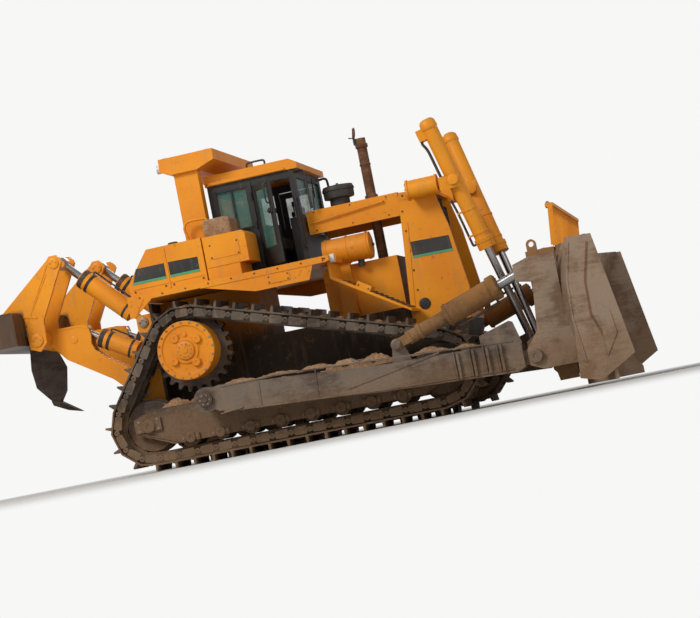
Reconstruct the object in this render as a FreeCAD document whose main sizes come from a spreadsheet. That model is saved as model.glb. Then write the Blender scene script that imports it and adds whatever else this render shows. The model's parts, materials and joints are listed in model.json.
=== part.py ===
"""Crawler dozer with elevated sprockets, a semi-U blade on push arms and a parallelogram ripper.

The machine stands on its tracks with +X forward, +Y to its left and +Z up, in millimetres. In the
sheet, stations along X are measured from the rear idler's axle; the model's origin is on the ground
under the middle of the whole machine, so every station is moved back by the value "middle".
"""
import FreeCAD, Part
import Sketcher
import math
import os

DOC = FreeCAD.newDocument("crawler_dozer")
V = FreeCAD.Vector

# Driving dimensions: alias, value in mm (angles in degrees, counts plain), meaning
SIZES = [
    ("middle", 2085, "station of the origin, half way between blade and ripper beam"),
    # Track and undercarriage
    ("track_gauge", 2550, "between the middles of the tracks"),
    ("shoe_width", 610, "width of a track shoe"),
    ("shoes_per_side", 44, "shoes in one track"),
    ("pin_rise", 165, "track pin above the grouser tips"),
    ("shoe_inside", 62, "track pin to the inner face of a shoe"),
    ("shoe_plate", 22, "thickness of a shoe's plate"),
    ("grouser_foot", 40, "thickness of a grouser at its foot"),
    ("grouser_edge", 22, "thickness of a grouser at its tip"),
    ("link_inside", 80, "track pin to the rolling face of the links"),
    ("link_width", 60, "width of one strand of links"),
    ("link_spread", 200, "between the middles of the two strands"),
    ("idler_wheel", 425, "radius of the pin line round an idler"),
    ("idler_flange", 30, "height of an idler's middle flange"),
    ("idler_axle", 95, "radius of an idler's axle"),
    ("idler_spread", 3850, "between the rear and front idlers"),
    ("sprocket_x", 700, "station of the sprockets"),
    ("sprocket_height", 1450, "sprocket axles above the ground"),
    ("sprocket_wheel", 502, "radius of the pin line round a sprocket"),
    ("sprocket_teeth", 24, "teeth of a sprocket"),
    ("tooth_rise", 32, "tooth tip above the pin line"),
    ("tooth_root", 38, "tooth root below the pin line"),
    ("sprocket_thick", 110, "thickness of the toothed rim"),
    ("hub_radius", 375, "radius of the hub cover"),
    ("hub_stand", 345, "hub cover's face from the track's middle"),
    ("hub_boss", 125, "radius of the boss on a hub cover"),
    ("hub_boss_rise", 40, "height of the boss on a hub cover"),
    ("roller_radius", 105, "radius of a track roller's tread"),
    ("roller_count", 8, "track rollers on each side"),
    ("roller_first", 520, "rear idler to the first track roller"),
    ("roller_last", 530, "last track roller to the front idler"),
    ("wheel_gap", 3, "running clearance of wheels and links"),
    ("roller_frame_width", 330, "width of a track roller frame's box"),
    ("frame_plate", 40, "thickness of a roller frame's side plates"),
    ("frame_plate_gap", 40, "roller frame's box to its side plates"),
    ("roller_frame_low", 430, "underside of a roller frame's box"),
    ("roller_frame_top", 790, "top of a roller frame"),
    ("frame_end", 200, "roller frame's ends beyond the idlers' axles"),
    ("frame_skirt", 120, "roller frame's plates below its box"),
    # Main frame
    ("hull_half", 560, "half the width of the main frame"),
    ("hull_rear", 150, "rear face of the main case"),
    ("hull_low", 615, "ground clearance"),
    ("hull_top", 1480, "top of the main frame"),
    ("case_front", 1500, "front of the rear case"),
    ("case_gap", 20, "rear case to the walkway above it"),
    ("case_rake", 160, "rake of the hull's lower edges at both ends"),
    ("bar_x", 2900, "rear face of the equaliser bar"),
    ("bar_deep", 220, "depth of the equaliser bar along the machine"),
    ("bar_high", 120, "height of the equaliser bar"),
    ("final_radius", 330, "radius of a final drive housing"),
    ("pivot_shaft", 110, "radius of the pivot shaft"),
    ("pivot_shaft_x", 1150, "station of the pivot shaft"),
    ("pivot_shaft_z", 640, "height of the pivot shaft"),
    # Platform, tanks
    ("deck_gap", 83, "track's highest grousers to the walkway"),
    ("deck_sheet", 70, "thickness of the walkway"),
    ("deck_rear", 30, "rear end of the walkway"),
    ("deck_past", 400, "walkway ahead of the cab"),
    ("deck_half", 1550, "half the width over the walkways"),
    ("engine_gap", 700, "inner edge of the walkways beside the engine"),
    ("skirt_drop", 190, "height of the skirt under the walkway"),
    ("skirt_sheet", 20, "thickness of skirts and fender plates"),
    ("fender_run", 960, "length of the sloping fender"),
    ("fender_fall", 610, "how far the fender falls towards the front"),
    ("tank_rise", 570, "height of the fuel tank"),
    ("tank_rear", 60, "rear face of the fuel tank"),
    ("tank_slope", 310, "length of the fuel tank's sloping rear"),
    ("tank_slope_fall", 400, "height of the fuel tank's sloping rear"),
    ("tank_half", 1450, "half the width of the fuel tank"),
    ("box_gap", 80, "cab to the boxes beside it"),
    ("box_step", 160, "height of the lower part of the boxes beside the cab"),
    ("box_inset", 130, "how far that lower part stands back"),
    # Cab
    ("cab_rear", 1150, "rear wall of the cab"),
    ("cab_length", 1180, "length of the cab"),
    ("cab_gap", 40, "cab to the fuel tank behind it"),
    ("cab_half", 780, "half the width of the cab"),
    ("cab_height", 1270, "walkway to the underside of the cab's roof"),
    ("cab_roof", 140, "thickness of the cab's roof"),
    ("cab_wall", 60, "thickness of the cab's walls"),
    ("cab_post", 110, "width of the cab's corner posts"),
    ("sill_rise", 640, "walkway to the sill of the side windows"),
    ("head_drop", 100, "roof to the top of the windows"),
    ("door_ahead", 70, "doorway to the cab's front"),
    ("door_width", 520, "width of the doorway"),
    ("door_gap", 8, "gap round a door"),
    ("door_open", 52, "angle at which the right door stands open"),
    ("glass_thick", 12, "thickness of the glass"),
    # Roll-over frame
    ("canopy_gap", 90, "cab's roof to the canopy"),
    ("canopy_deep", 230, "depth of the canopy"),
    ("canopy_length", 745, "length of the canopy"),
    ("canopy_behind", 160, "canopy behind the posts"),
    ("canopy_half", 1060, "half the width of the canopy"),
    ("post_back", 350, "cab's rear wall to the rear face of the posts"),
    ("post_length", 320, "length of a post's section"),
    ("post_width", 170, "width of a post's section"),
    ("post_inner", 830, "inner face of the posts"),
    ("foot_plate", 40, "thickness of the posts' feet"),
    # Engine bay
    ("hood_gap", 15, "cab to the hood"),
    ("hood_length", 1245, "length of the hood"),
    ("hood_rise", 700, "walkway to the top of the hood"),
    ("hood_side", 310, "height of the hood's sides"),
    ("hood_half", 550, "half the width of the hood"),
    ("hood_sheet", 30, "thickness of the hood"),
    ("guard_seam", 20, "hood to the radiator guard"),
    ("guard_half", 620, "half the width of the radiator guard"),
    ("guard_depth", 680, "depth of the radiator guard at its nose"),
    ("guard_over", 140, "radiator guard's upper part ahead of the hull's front"),
    ("guard_low", 1180, "lower edge of the radiator guard"),
    ("guard_skin", 70, "thickness of the radiator guard's sides"),
    ("tow_ahead", 50, "radiator guard's nose to the tow eye's bore"),
    ("tow_height", 900, "height of the front tow eye's middle"),
    ("tow_round", 90, "outer radius of the front tow eye"),
    ("tow_bore", 36, "bore radius of the front tow eye"),
    ("tow_thick", 80, "thickness of the front tow eye"),
    ("engine_length", 1020, "length of the engine block"),
    ("engine_rise", 700, "height of the engine block"),
    ("engine_half", 400, "half the width of the engine block"),
    ("stack_back", 440, "exhaust stack behind the hood's front end"),
    ("stack_radius", 68, "radius of the exhaust stack"),
    ("stack_rise", 870, "exhaust stack above the hood"),
    ("stack_bore", 58, "bore of the exhaust stack"),
    ("precleaner_ahead", 440, "cab to the precleaner's middle"),
    ("precleaner_side", 250, "precleaner from the machine's middle"),
    ("precleaner_bowl", 200, "radius of the precleaner's bowl"),
    ("precleaner_neck", 130, "radius of the precleaner's neck"),
    ("cleaner_ahead", 150, "cab to the air cleaner"),
    ("cleaner_length", 630, "length of the air cleaner"),
    ("cleaner_radius", 175, "radius of the air cleaner"),
    ("cleaner_side", 495, "air cleaner from the machine's middle"),
    ("cleaner_rise", 105, "air cleaner's axis above the walkway"),
    # Push arms and blade
    ("arm_pivot_x", 930, "station of the push arms' trunnions"),
    ("arm_pivot_z", 770, "height of the push arms' trunnions"),
    ("arm_pivot", 90, "radius of the push arms' trunnions"),
    ("trunnion_proud", 35, "push arms' trunnions outside the arms"),
    ("arm_gap", 100, "track shoes to the push arms"),
    ("arm_width", 280, "width of a push arm"),
    ("blade_clear", 820, "radiator guard's nose to the blade's lower pins"),
    ("blade_pin_z", 503, "height of the blade's lower pins"),
    ("blade_pin", 65, "radius of the blade's lower pins"),
    ("blade_eye", 120, "outer radius of the push arm's front eye"),
    ("rib_rise", 45, "height of the ribs on a push arm"),
    ("rib_thick", 30, "thickness of the ribs on a push arm"),
    ("blade_half", 2430, "half the width of the blade"),
    ("blade_straight", 1450, "half the width of the blade's straight middle"),
    ("wing_reach", 420, "how far the blade's ends stand forward"),
    ("blade_low", 140, "lower end of the moldboard"),
    ("blade_height", 1660, "height of the moldboard"),
    ("blade_ahead", 490, "blade's lower pins to the moldboard's upper edge"),
    ("blade_toe", 60, "moldboard's lower edge ahead of its upper edge"),
    ("blade_hollow", 210, "depth of the moldboard's curve"),
    ("blade_sheet", 45, "thickness of the moldboard"),
    ("end_plate", 40, "thickness of the blade's end plates"),
    ("edge_low", 40, "lower edge of the cutting edge above the ground"),
    ("edge_thick", 43, "thickness of the cutting edge"),
    ("box_behind", 130, "back of the blade's box ahead of the lower pins"),
    ("box_top", 960, "top of the blade's lower box"),
    ("bracket_clear", 10, "push arm to the inner faces of the blade's brackets"),
    ("box_clear", 150, "blade's box to the brackets beside it"),
    ("frame_sheet", 40, "thickness of the plates behind the blade"),
    ("lug_ahead", 160, "lifting lugs ahead of the blade's lower pins"),
    ("lug_rise", 70, "holes in the lifting lugs above the moldboard"),
    ("lug_round", 62, "outer radius of a lifting lug"),
    ("lug_bore", 34, "radius of the hole in a lifting lug"),
    ("lug_thick", 50, "thickness of a lifting lug"),
    ("rock_guard_rise", 510, "height of the rock guard over the moldboard"),
    ("rock_guard_half", 1700, "half the width of the rock guard"),
    ("rock_fins", 17, "fins of the rock guard"),
    ("rock_fin", 24, "thickness of a fin"),
    ("rock_rail", 40, "height of the rock guard's rail"),
    # Blade lift cylinders
    ("trunnion_ahead", 110, "lift cylinders' trunnions ahead of the radiator guard's nose"),
    ("trunnion_side", 800, "lift trunnions from the machine's middle"),
    ("trunnion_drop", 20, "guard's top to the height of the lift cylinders' trunnions"),
    ("trunnion_pin", 46, "radius of a lift cylinder's trunnion pins"),
    ("trunnion_half", 118, "half the length over the trunnion pins"),
    ("lift_eye_back", 150, "lift rods' eyes behind the blade's lower pins"),
    ("lift_eye_rise", 137, "lift rods' eyes above the blade's lower pins"),
    ("lift_eye_side", 460, "lift rods' eyes from the machine's middle"),
    ("lift_eye", 85, "outer radius of a lift rod's eye"),
    ("lift_eye_bore", 42, "bore radius of a lift rod's eye"),
    ("lift_eye_width", 100, "width of a lift rod's eye"),
    ("eye_room_inner", 128, "lift rod's eye to the outer face of the cheek inboard of it"),
    ("eye_room_outer", 135, "lift rod's eye to the face of the cheek outboard of it"),
    ("eye_cheek", 30, "thickness of the cheeks beside a lift rod's eye"),
    ("lift_head", 830, "lift barrel above its trunnion"),
    ("lift_body", 960, "lift barrel below its trunnion"),
    ("lift_barrel", 100, "outer radius of a lift cylinder"),
    ("lift_rod", 50, "radius of a lift rod"),
    ("lift_rod_start", 330, "trunnion to the inner end of a lift rod"),
    ("gland_rise", 14, "gland nut outside its barrel"),
    ("gland_long", 90, "length of a gland nut"),
    ("rod_gap", 1, "clearance of a rod in its gland"),
    ("yoke_room", 125, "barrel's axis to a yoke's cheeks"),
    ("yoke_cheek", 40, "thickness of a yoke's cheeks"),
    ("yoke_high", 160, "height of a yoke"),
    ("yoke_spindle", 70, "radius of a yoke's spindle"),
    ("housing", 125, "radius of the housing round a yoke's spindle"),
    ("housing_length", 420, "length of a yoke's housing"),
    ("housing_back", 220, "lift trunnion to the front face of its yoke's housing"),
    # Tilt cylinders on the push arms
    ("tilt_back", 1670, "tilt cylinders' rear pins behind the blade's lower pins"),
    ("tilt_z", 975, "height of the tilt cylinders' rear pins"),
    ("tilt_eye_rise", 1037, "tilt rods' eyes above the blade's lower pins"),
    ("tilt_pin", 45, "radius of the tilt cylinders' rear pins"),
    ("tilt_barrel", 140, "outer radius of a tilt cylinder"),
    ("tilt_tube", 85, "radius of the tube behind a tilt cylinder"),
    ("tilt_rod", 62, "radius of a tilt rod"),
    ("tilt_lug", 70, "thickness of a tilt cylinder's lug on the arm"),
    # Ripper
    ("shoe_clear", 25, "track shoes to the ripper's bracket"),
    ("cheek_thick", 40, "thickness of the ripper bracket's cheeks"),
    ("cheek_room", 220, "between the cheeks of one side"),
    ("arm_clear", 10, "ripper arm to the cheeks"),
    ("tower_inside", 55, "inner tower plate to the ripper arm"),
    ("tower_outside", 205, "outer tower plate to the ripper arm"),
    ("tower_plate", 50, "thickness of the tower plates"),
    ("ripper_arm_x", -170, "station of the ripper arms' front pins"),
    ("ripper_arm_z", 1060, "height of the ripper arms' front pins"),
    ("ripper_reach", 1250, "ripper arms from front to rear pin, along the machine"),
    ("ripper_climb", 945, "ripper arms from front to rear pin, upwards"),
    ("pitch_front_x", 0, "station of the pitch cylinders' front pins"),
    ("pitch_front_z", 1960, "height of the pitch cylinders' front pins"),
    ("pitch_reach", 1000, "pitch cylinders from foot to eye, along the machine"),
    ("pitch_climb", 1000, "pitch cylinders from foot to eye, upwards"),
    ("ripper_lift_x", -40, "station of the ripper lift cylinders' front pins"),
    ("ripper_lift_z", 1537, "height of the ripper lift cylinders' front pins"),
    ("lift_reach", 820, "ripper lift cylinders from foot to eye, along the machine"),
    ("lift_climb", 473, "ripper lift cylinders from foot to eye, upwards"),
    ("ripper_pin", 50, "radius of the ripper's pins at the rear case"),
    ("beam_pin", 60, "radius of the ripper beam's lower pins"),
    ("ripper_neck", 44, "radius of the neck between a ripper cylinder and the eye at its foot"),
    ("ripper_eye", 88, "outer radius of the ripper rods' eyes"),
    ("ripper_foot", 105, "outer radius of the eyes at the ripper cylinders' feet"),
    ("pin_gap", 0.5, "radial clearance of a pin in an eye"),
    ("arm_plate", 45, "thickness of a ripper arm's plates"),
    ("beam_half", 1460, "half the width of the ripper beam"),
    ("beam_behind", 160, "ripper beam's front face behind its pins"),
    ("beam_deep", 570, "depth of the ripper beam"),
    ("beam_drop", 45, "ripper beam's underside below its pins"),
    ("beam_high", 440, "height of the ripper beam"),
    ("shank_thick", 90, "thickness of the shank"),
    ("tip_room", 15, "tip's sides outside the shank"),
]

SHEET = DOC.addObject("Spreadsheet::Sheet", "sizes")
for row, (alias, number, meaning) in enumerate(SIZES, start=1):
    SHEET.set(f"A{row}", alias)
    SHEET.set(f"B{row}", str(number))
    SHEET.set(f"C{row}", meaning)
    SHEET.setAlias(f"B{row}", alias)
DOC.recompute()


class Dim:
    """A length that knows its number and the sheet expression that gives it."""

    def __init__(self, text, number):
        self.text = text
        self.number = float(number)

    def __float__(self):
        return self.number

    def __add__(self, other):
        other = dim(other)
        return Dim(f"({self.text} + {other.text})", self.number + other.number)

    def __sub__(self, other):
        other = dim(other)
        return Dim(f"({self.text} - {other.text})", self.number - other.number)

    def __mul__(self, other):
        other = dim(other)
        return Dim(f"({self.text} * {other.text})", self.number * other.number)

    def __truediv__(self, other):
        other = dim(other)
        return Dim(f"({self.text} / {other.text})", self.number / other.number)

    def __radd__(self, other):
        return dim(other) + self

    def __rsub__(self, other):
        return dim(other) - self

    def __rmul__(self, other):
        return dim(other) * self

    def __neg__(self):
        return Dim(f"(0 - {self.text})", -self.number)


def dim(value):
    """Any number as a Dim."""
    return value if isinstance(value, Dim) else Dim(f"({float(value):.6g})", value)


class Sizes:
    """The sheet's aliases as attributes."""

    def __getattr__(self, alias):
        return Dim(f"sizes.{alias}", getattr(SHEET, alias))


S = Sizes()
NODES = {}


# Places worked out from the sizes
HALF_GAUGE = S.track_gauge / 2
SHOE_INNER = HALF_GAUGE - S.shoe_width / 2
SHOE_OUTER = HALF_GAUGE + S.shoe_width / 2
IDLER_HEIGHT = S.pin_rise + S.idler_wheel
ROLLER_HEIGHT = S.pin_rise + S.link_inside + S.wheel_gap + S.roller_radius
ROLLER_STEP = (S.idler_spread - S.roller_first - S.roller_last) / (S.roller_count - 1)
HUB_FACE = HALF_GAUGE + S.hub_stand
DECK_LOW = S.sprocket_height + S.sprocket_wheel + S.pin_rise + S.deck_gap
DECK_TOP = DECK_LOW + S.deck_sheet
TANK_TOP = DECK_TOP + S.tank_rise
CAB_FRONT = S.cab_rear + S.cab_length
DECK_FRONT = CAB_FRONT + S.deck_past
DOOR_REAR = CAB_FRONT - S.door_ahead - S.door_width
TANK_FRONT = S.cab_rear - S.cab_gap
SILL = DECK_TOP + S.sill_rise
ROOF_LOW = DECK_TOP + S.cab_height
ROOF_TOP = ROOF_LOW + S.cab_roof
HEAD = ROOF_LOW - S.head_drop
FRONT_HALF = S.cab_half - S.cab_post
CANOPY_LOW = ROOF_TOP + S.canopy_gap
CANOPY_TOP = CANOPY_LOW + S.canopy_deep
POST_REAR = S.cab_rear - S.post_back
POST_FRONT = POST_REAR + S.post_length
POST_OUTER = S.post_inner + S.post_width
CANOPY_REAR = POST_REAR - S.canopy_behind
HOOD_REAR = CAB_FRONT + S.hood_gap
HOOD_FRONT = HOOD_REAR + S.hood_length
HOOD_TOP = DECK_TOP + S.hood_rise
GUARD_REAR = HOOD_FRONT + S.guard_seam
GUARD_NOSE = GUARD_REAR + S.guard_depth
GUARD_TOP = HOOD_TOP - S.guard_seam
HULL_FRONT = GUARD_REAR - S.guard_over
STACK_X = HOOD_FRONT - S.stack_back
STACK_TOP = HOOD_TOP + S.stack_rise
ARM_INNER = SHOE_OUTER + S.arm_gap
ARM_OUTER = ARM_INNER + S.arm_width
ARM_MIDDLE = ARM_INNER + S.arm_width / 2
BOX_HALF = ARM_INNER + S.bracket_clear - S.box_clear - S.frame_sheet
BLADE_PIN_X = GUARD_NOSE + S.blade_clear
BLADE_FRONT = BLADE_PIN_X + S.blade_ahead
BLADE_TOP = S.blade_low + S.blade_height
TRUNNION_X = GUARD_NOSE + S.trunnion_ahead
TRUNNION_Z = GUARD_TOP - S.trunnion_drop
CHEEK_OUTER = SHOE_INNER - S.shoe_clear - S.cheek_thick
CHEEK_INNER = CHEEK_OUTER - S.cheek_room
CYLINDER_SIDE = CHEEK_OUTER - S.cheek_room / 2
RIPPER_ARM_INNER = CHEEK_INNER + S.arm_clear
RIPPER_ARM_OUTER = CHEEK_OUTER - S.arm_clear
TOWER_INNER = RIPPER_ARM_INNER - S.tower_inside
TOWER_OUTER = RIPPER_ARM_OUTER + S.tower_outside
RIPPER_PIN_X = S.ripper_arm_x - S.ripper_reach
RIPPER_PIN_Z = S.ripper_arm_z + S.ripper_climb
BEAM_LOW = RIPPER_PIN_Z - S.beam_drop
BEAM_TOP = BEAM_LOW + S.beam_high
BEAM_FRONT = RIPPER_PIN_X - S.beam_behind
BEAM_REAR = BEAM_FRONT - S.beam_deep


def bind(thing, prop, value):
    """Bind one property of a document object to the sheet."""
    thing.setExpression(prop, dim(value).text)


def put(thing, x, y, z, turn=None):
    """Place an object at a station, with an optional turn (axis, degrees)."""
    if turn:
        thing.Placement.Rotation = FreeCAD.Rotation(V(*turn[0]), turn[1])
    bind(thing, "Placement.Base.x", dim(x) - S.middle)
    bind(thing, "Placement.Base.y", y)
    bind(thing, "Placement.Base.z", z)
    return thing


def point(x, y, z):
    """A station, side and height as a vector in the model's own frame."""
    return V(float(x) - float(S.middle), float(y), float(z))


def span(side, inner, outer):
    """Start and width along Y of a piece between two distances from the middle, on one side."""
    inner = dim(inner)
    outer = dim(outer)
    return (inner if side > 0 else -outer), outer - inner


def box(x, y, z, length, width, height):
    """A block from its lowest corner."""
    thing = DOC.addObject("Part::Box", "block")
    bind(thing, "Length", length)
    bind(thing, "Width", width)
    bind(thing, "Height", height)
    return put(thing, x, y, z)


def drum(axis, x, y, z, radius, length):
    """A cylinder along X, Y or Z from the middle of its first end."""
    thing = DOC.addObject("Part::Cylinder", "drum")
    bind(thing, "Radius", radius)
    bind(thing, "Height", length)
    turn = {"X": ((0, 1, 0), 90), "Y": ((1, 0, 0), -90), "Z": None}[axis]
    return put(thing, x, y, z, turn)


def plate(points, y, width):
    """A plate whose outline lies in the XZ plane (station, height), extruded along Y."""
    sketch = DOC.addObject("Sketcher::SketchObject", "outline")
    flat = [(float(dim(px)), float(dim(pz))) for px, pz in points]
    count = len(flat)
    for i in range(count):
        a, b = flat[i], flat[(i + 1) % count]
        sketch.addGeometry(Part.LineSegment(V(a[0], a[1], 0), V(b[0], b[1], 0)), False)
    for i in range(count):
        sketch.addConstraint(Sketcher.Constraint("Coincident", i, 2, (i + 1) % count, 1))
    for i, (px, pz) in enumerate(points):
        row = sketch.addConstraint(Sketcher.Constraint("DistanceX", i, 1, flat[i][0]))
        bind(sketch, f"Constraints[{row}]", px)
        row = sketch.addConstraint(Sketcher.Constraint("DistanceY", i, 1, flat[i][1]))
        bind(sketch, f"Constraints[{row}]", pz)
    put(sketch, 0, y, 0, ((1, 0, 0), 90))
    solid = DOC.addObject("Part::Extrusion", "plate")
    solid.Base = sketch
    solid.DirMode = "Custom"
    solid.Dir = V(0, 1, 0)
    solid.Solid = True
    bind(solid, "LengthFwd", width)
    return solid


def made(shape):
    """A piece whose shape is worked out here from the sheet's values."""
    thing = DOC.addObject("Part::Feature", "made")
    thing.Shape = shape
    return thing


def rod(start, end, radius, bore=None):
    """A round bar, or a tube, between two points."""
    way = end - start
    shape = Part.makeCylinder(float(radius), way.Length, start, way)
    if bore is not None:
        shape = shape.cut(Part.makeCylinder(float(bore), way.Length, start, way))
    return made(shape)


def joined(pieces):
    """Several pieces as one object."""
    if len(pieces) == 1:
        return pieces[0]
    thing = DOC.addObject("Part::MultiFuse", "joined")
    thing.Shapes = pieces
    return thing


def node(name, pieces, cuts=()):
    """Join the pieces of one sub-part, take its cuts out and give it its name."""
    solid = joined(list(pieces))
    if cuts:
        whole = DOC.addObject("Part::Cut", "cut")
        whole.Base = solid
        whole.Tool = joined(list(cuts))
        solid = whole
    solid.Label = name
    NODES[name] = solid
    return solid


SIDES = (("right", -1), ("left", 1))


# Track: the belt's line runs round the sprocket and both idlers
def belt_line():
    """Lines and arcs of the pin line, clockwise seen from the right: (length, function of distance)."""
    wheels = [
        (float(S.sprocket_x), float(S.sprocket_height), float(S.sprocket_wheel)),
        (float(S.idler_spread), float(IDLER_HEIGHT), float(S.idler_wheel)),
        (0.0, float(IDLER_HEIGHT), float(S.idler_wheel)),
    ]
    tangents = []
    for i in range(3):
        x0, z0, r0 = wheels[i]
        x1, z1, r1 = wheels[(i + 1) % 3]
        reach = math.hypot(x1 - x0, z1 - z0)
        base = math.atan2(z1 - z0, x1 - x0)
        lean = base + math.acos((r0 - r1) / reach)
        tangents.append((lean, (x0 + r0 * math.cos(lean), z0 + r0 * math.sin(lean)),
                         (x1 + r1 * math.cos(lean), z1 + r1 * math.sin(lean))))
    runs = []
    for i in range(3):
        x0, z0, r0 = wheels[i]
        start = tangents[(i - 1) % 3][0]
        end = tangents[i][0]
        turn = (start - end) % (2 * math.pi)
        runs.append(("arc", r0 * turn, (x0, z0, r0, start)))
        a, b = tangents[i][1], tangents[i][2]
        runs.append(("line", math.hypot(b[0] - a[0], b[1] - a[1]), (a, b)))
    return runs


def belt_point(runs, way):
    """Point and outward direction at a distance along the belt's line."""
    for kind, length, data in runs:
        if way > length:
            way -= length
            continue
        if kind == "arc":
            x, z, r, start = data
            angle = start - way / r
            return (x + r * math.cos(angle), z + r * math.sin(angle)), (math.cos(angle), math.sin(angle))
        a, b = data
        share = way / length
        dx, dz = (b[0] - a[0]) / length, (b[1] - a[1]) / length
        return (a[0] + share * (b[0] - a[0]), a[1] + share * (b[1] - a[1])), (-dz, dx)
    raise ValueError("the way is longer than the belt")


def belt_pins():
    """The track's pins as (x, z), evenly along the belt."""
    runs = belt_line()
    total = sum(run[1] for run in runs)
    count = int(S.shoes_per_side.number)
    return [belt_point(runs, (i + 0.5) * total / count)[0] for i in range(count)], total / count


def offset_ring(pins, rise):
    """The closed line through the pins, moved outward by a rise, with mitred corners."""
    count = len(pins)
    ring = []
    for i in range(count):
        a, b, c = pins[i - 1], pins[i], pins[(i + 1) % count]
        n1 = (-(b[1] - a[1]), b[0] - a[0])
        n2 = (-(c[1] - b[1]), c[0] - b[0])
        l1, l2 = math.hypot(*n1), math.hypot(*n2)
        mx, mz = n1[0] / l1 + n2[0] / l2, n1[1] / l1 + n2[1] / l2
        size = math.hypot(mx, mz)
        scale = rise / (size / 2) / size
        ring.append((b[0] + mx * scale, b[1] + mz * scale))
    return ring


def flat_ring(outer, inner, y, width):
    """A solid between two closed lines of (x, z), extruded along Y."""
    faces = []
    for line in (outer, inner):
        corners = [point(x, y, z) for x, z in line]
        faces.append(Part.Face(Part.makePolygon(corners + corners[:1])))
    return faces[0].cut(faces[1]).extrude(V(0, width, 0))


GROUSER_PLACE = 0.16


def shoe_line(pins):
    """Outline of the shoes' outer side: plate and one tapered grouser on each shoe."""
    rise = float(S.shoe_inside) + float(S.shoe_plate)
    outer = offset_ring(pins, rise)
    tall = float(S.pin_rise) - rise
    foot, edge = float(S.grouser_foot), float(S.grouser_edge)
    line = []
    for i, (x0, z0) in enumerate(outer):
        x1, z1 = outer[(i + 1) % len(outer)]
        length = math.hypot(x1 - x0, z1 - z0)
        tx, tz = (x1 - x0) / length, (z1 - z0) / length
        nx, nz = -tz, tx
        start = GROUSER_PLACE * length
        lean = (foot - edge) / 2
        line.append((x0, z0))
        for along, up in ((start, 0), (start + lean, tall), (start + lean + edge, tall), (start + foot, 0)):
            line.append((x0 + tx * along + nx * up, z0 + tz * along + nz * up))
    return line


PINS, PITCH = belt_pins()


def tracks():
    """Both tracks: a closed belt of shoes on two strands of links."""
    belts = []
    for _, side in SIDES:
        middle = side * float(HALF_GAUGE)
        shoe = float(S.shoe_width)
        inside = float(S.shoe_inside)
        link = float(S.link_width)
        belts.append(made(flat_ring(shoe_line(PINS), offset_ring(PINS, inside), middle - shoe / 2, shoe)))
        rails = (offset_ring(PINS, inside), offset_ring(PINS, -float(S.link_inside)))
        for strand in (-1, 1):
            y = middle + strand * float(S.link_spread) / 2 - link / 2
            belts.append(made(flat_ring(*rails, y, link)))
    node("tracks", belts)


# Wheels of the undercarriage
def tread_radius(wheel):
    """Radius of a wheel's tread inside the links' straight rolling faces."""
    half = PITCH / 2
    return math.sqrt(wheel ** 2 - half ** 2) - float(S.link_inside) - float(S.wheel_gap)


def toothed_rim(side):
    """A sprocket's rim: trapezoid teeth round the pin line, bored for the final drive."""
    count = int(S.sprocket_teeth.number)
    tip = float(S.sprocket_wheel) + float(S.tooth_rise)
    root = float(S.sprocket_wheel) - float(S.tooth_root)
    step = 2 * math.pi / count
    width = float(S.sprocket_thick)
    start = side * float(HALF_GAUGE) - width / 2
    x, z = float(S.sprocket_x), float(S.sprocket_height)
    line = []
    for i in range(count):
        for share, r in ((-0.30, root), (-0.12, tip), (0.12, tip), (0.30, root)):
            angle = (i + share) * step
            line.append(point(x + r * math.cos(angle), start, z + r * math.sin(angle)))
    rim = Part.Face(Part.makePolygon(line + line[:1])).extrude(V(0, width, 0))
    bore = float(S.final_radius) + float(S.pin_gap)
    return made(rim.cut(Part.makeCylinder(bore, width, point(x, start, z), V(0, 1, 0))))


def crossways(side, x, z, radius, inner, outer):
    """A drum along Y between two distances from the machine's middle."""
    start, width = span(side, inner, outer)
    return drum("Y", x, start, z, radius, width)


def across(side, points, inner, outer):
    """A plate outline extruded between two distances from the machine's middle."""
    start, width = span(side, inner, outer)
    return plate(points, start, width)


def beside(side, x, z, length, height, inner, outer):
    """A block between two distances from the machine's middle."""
    start, width = span(side, inner, outer)
    return box(x, start, z, length, width, height)


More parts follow.
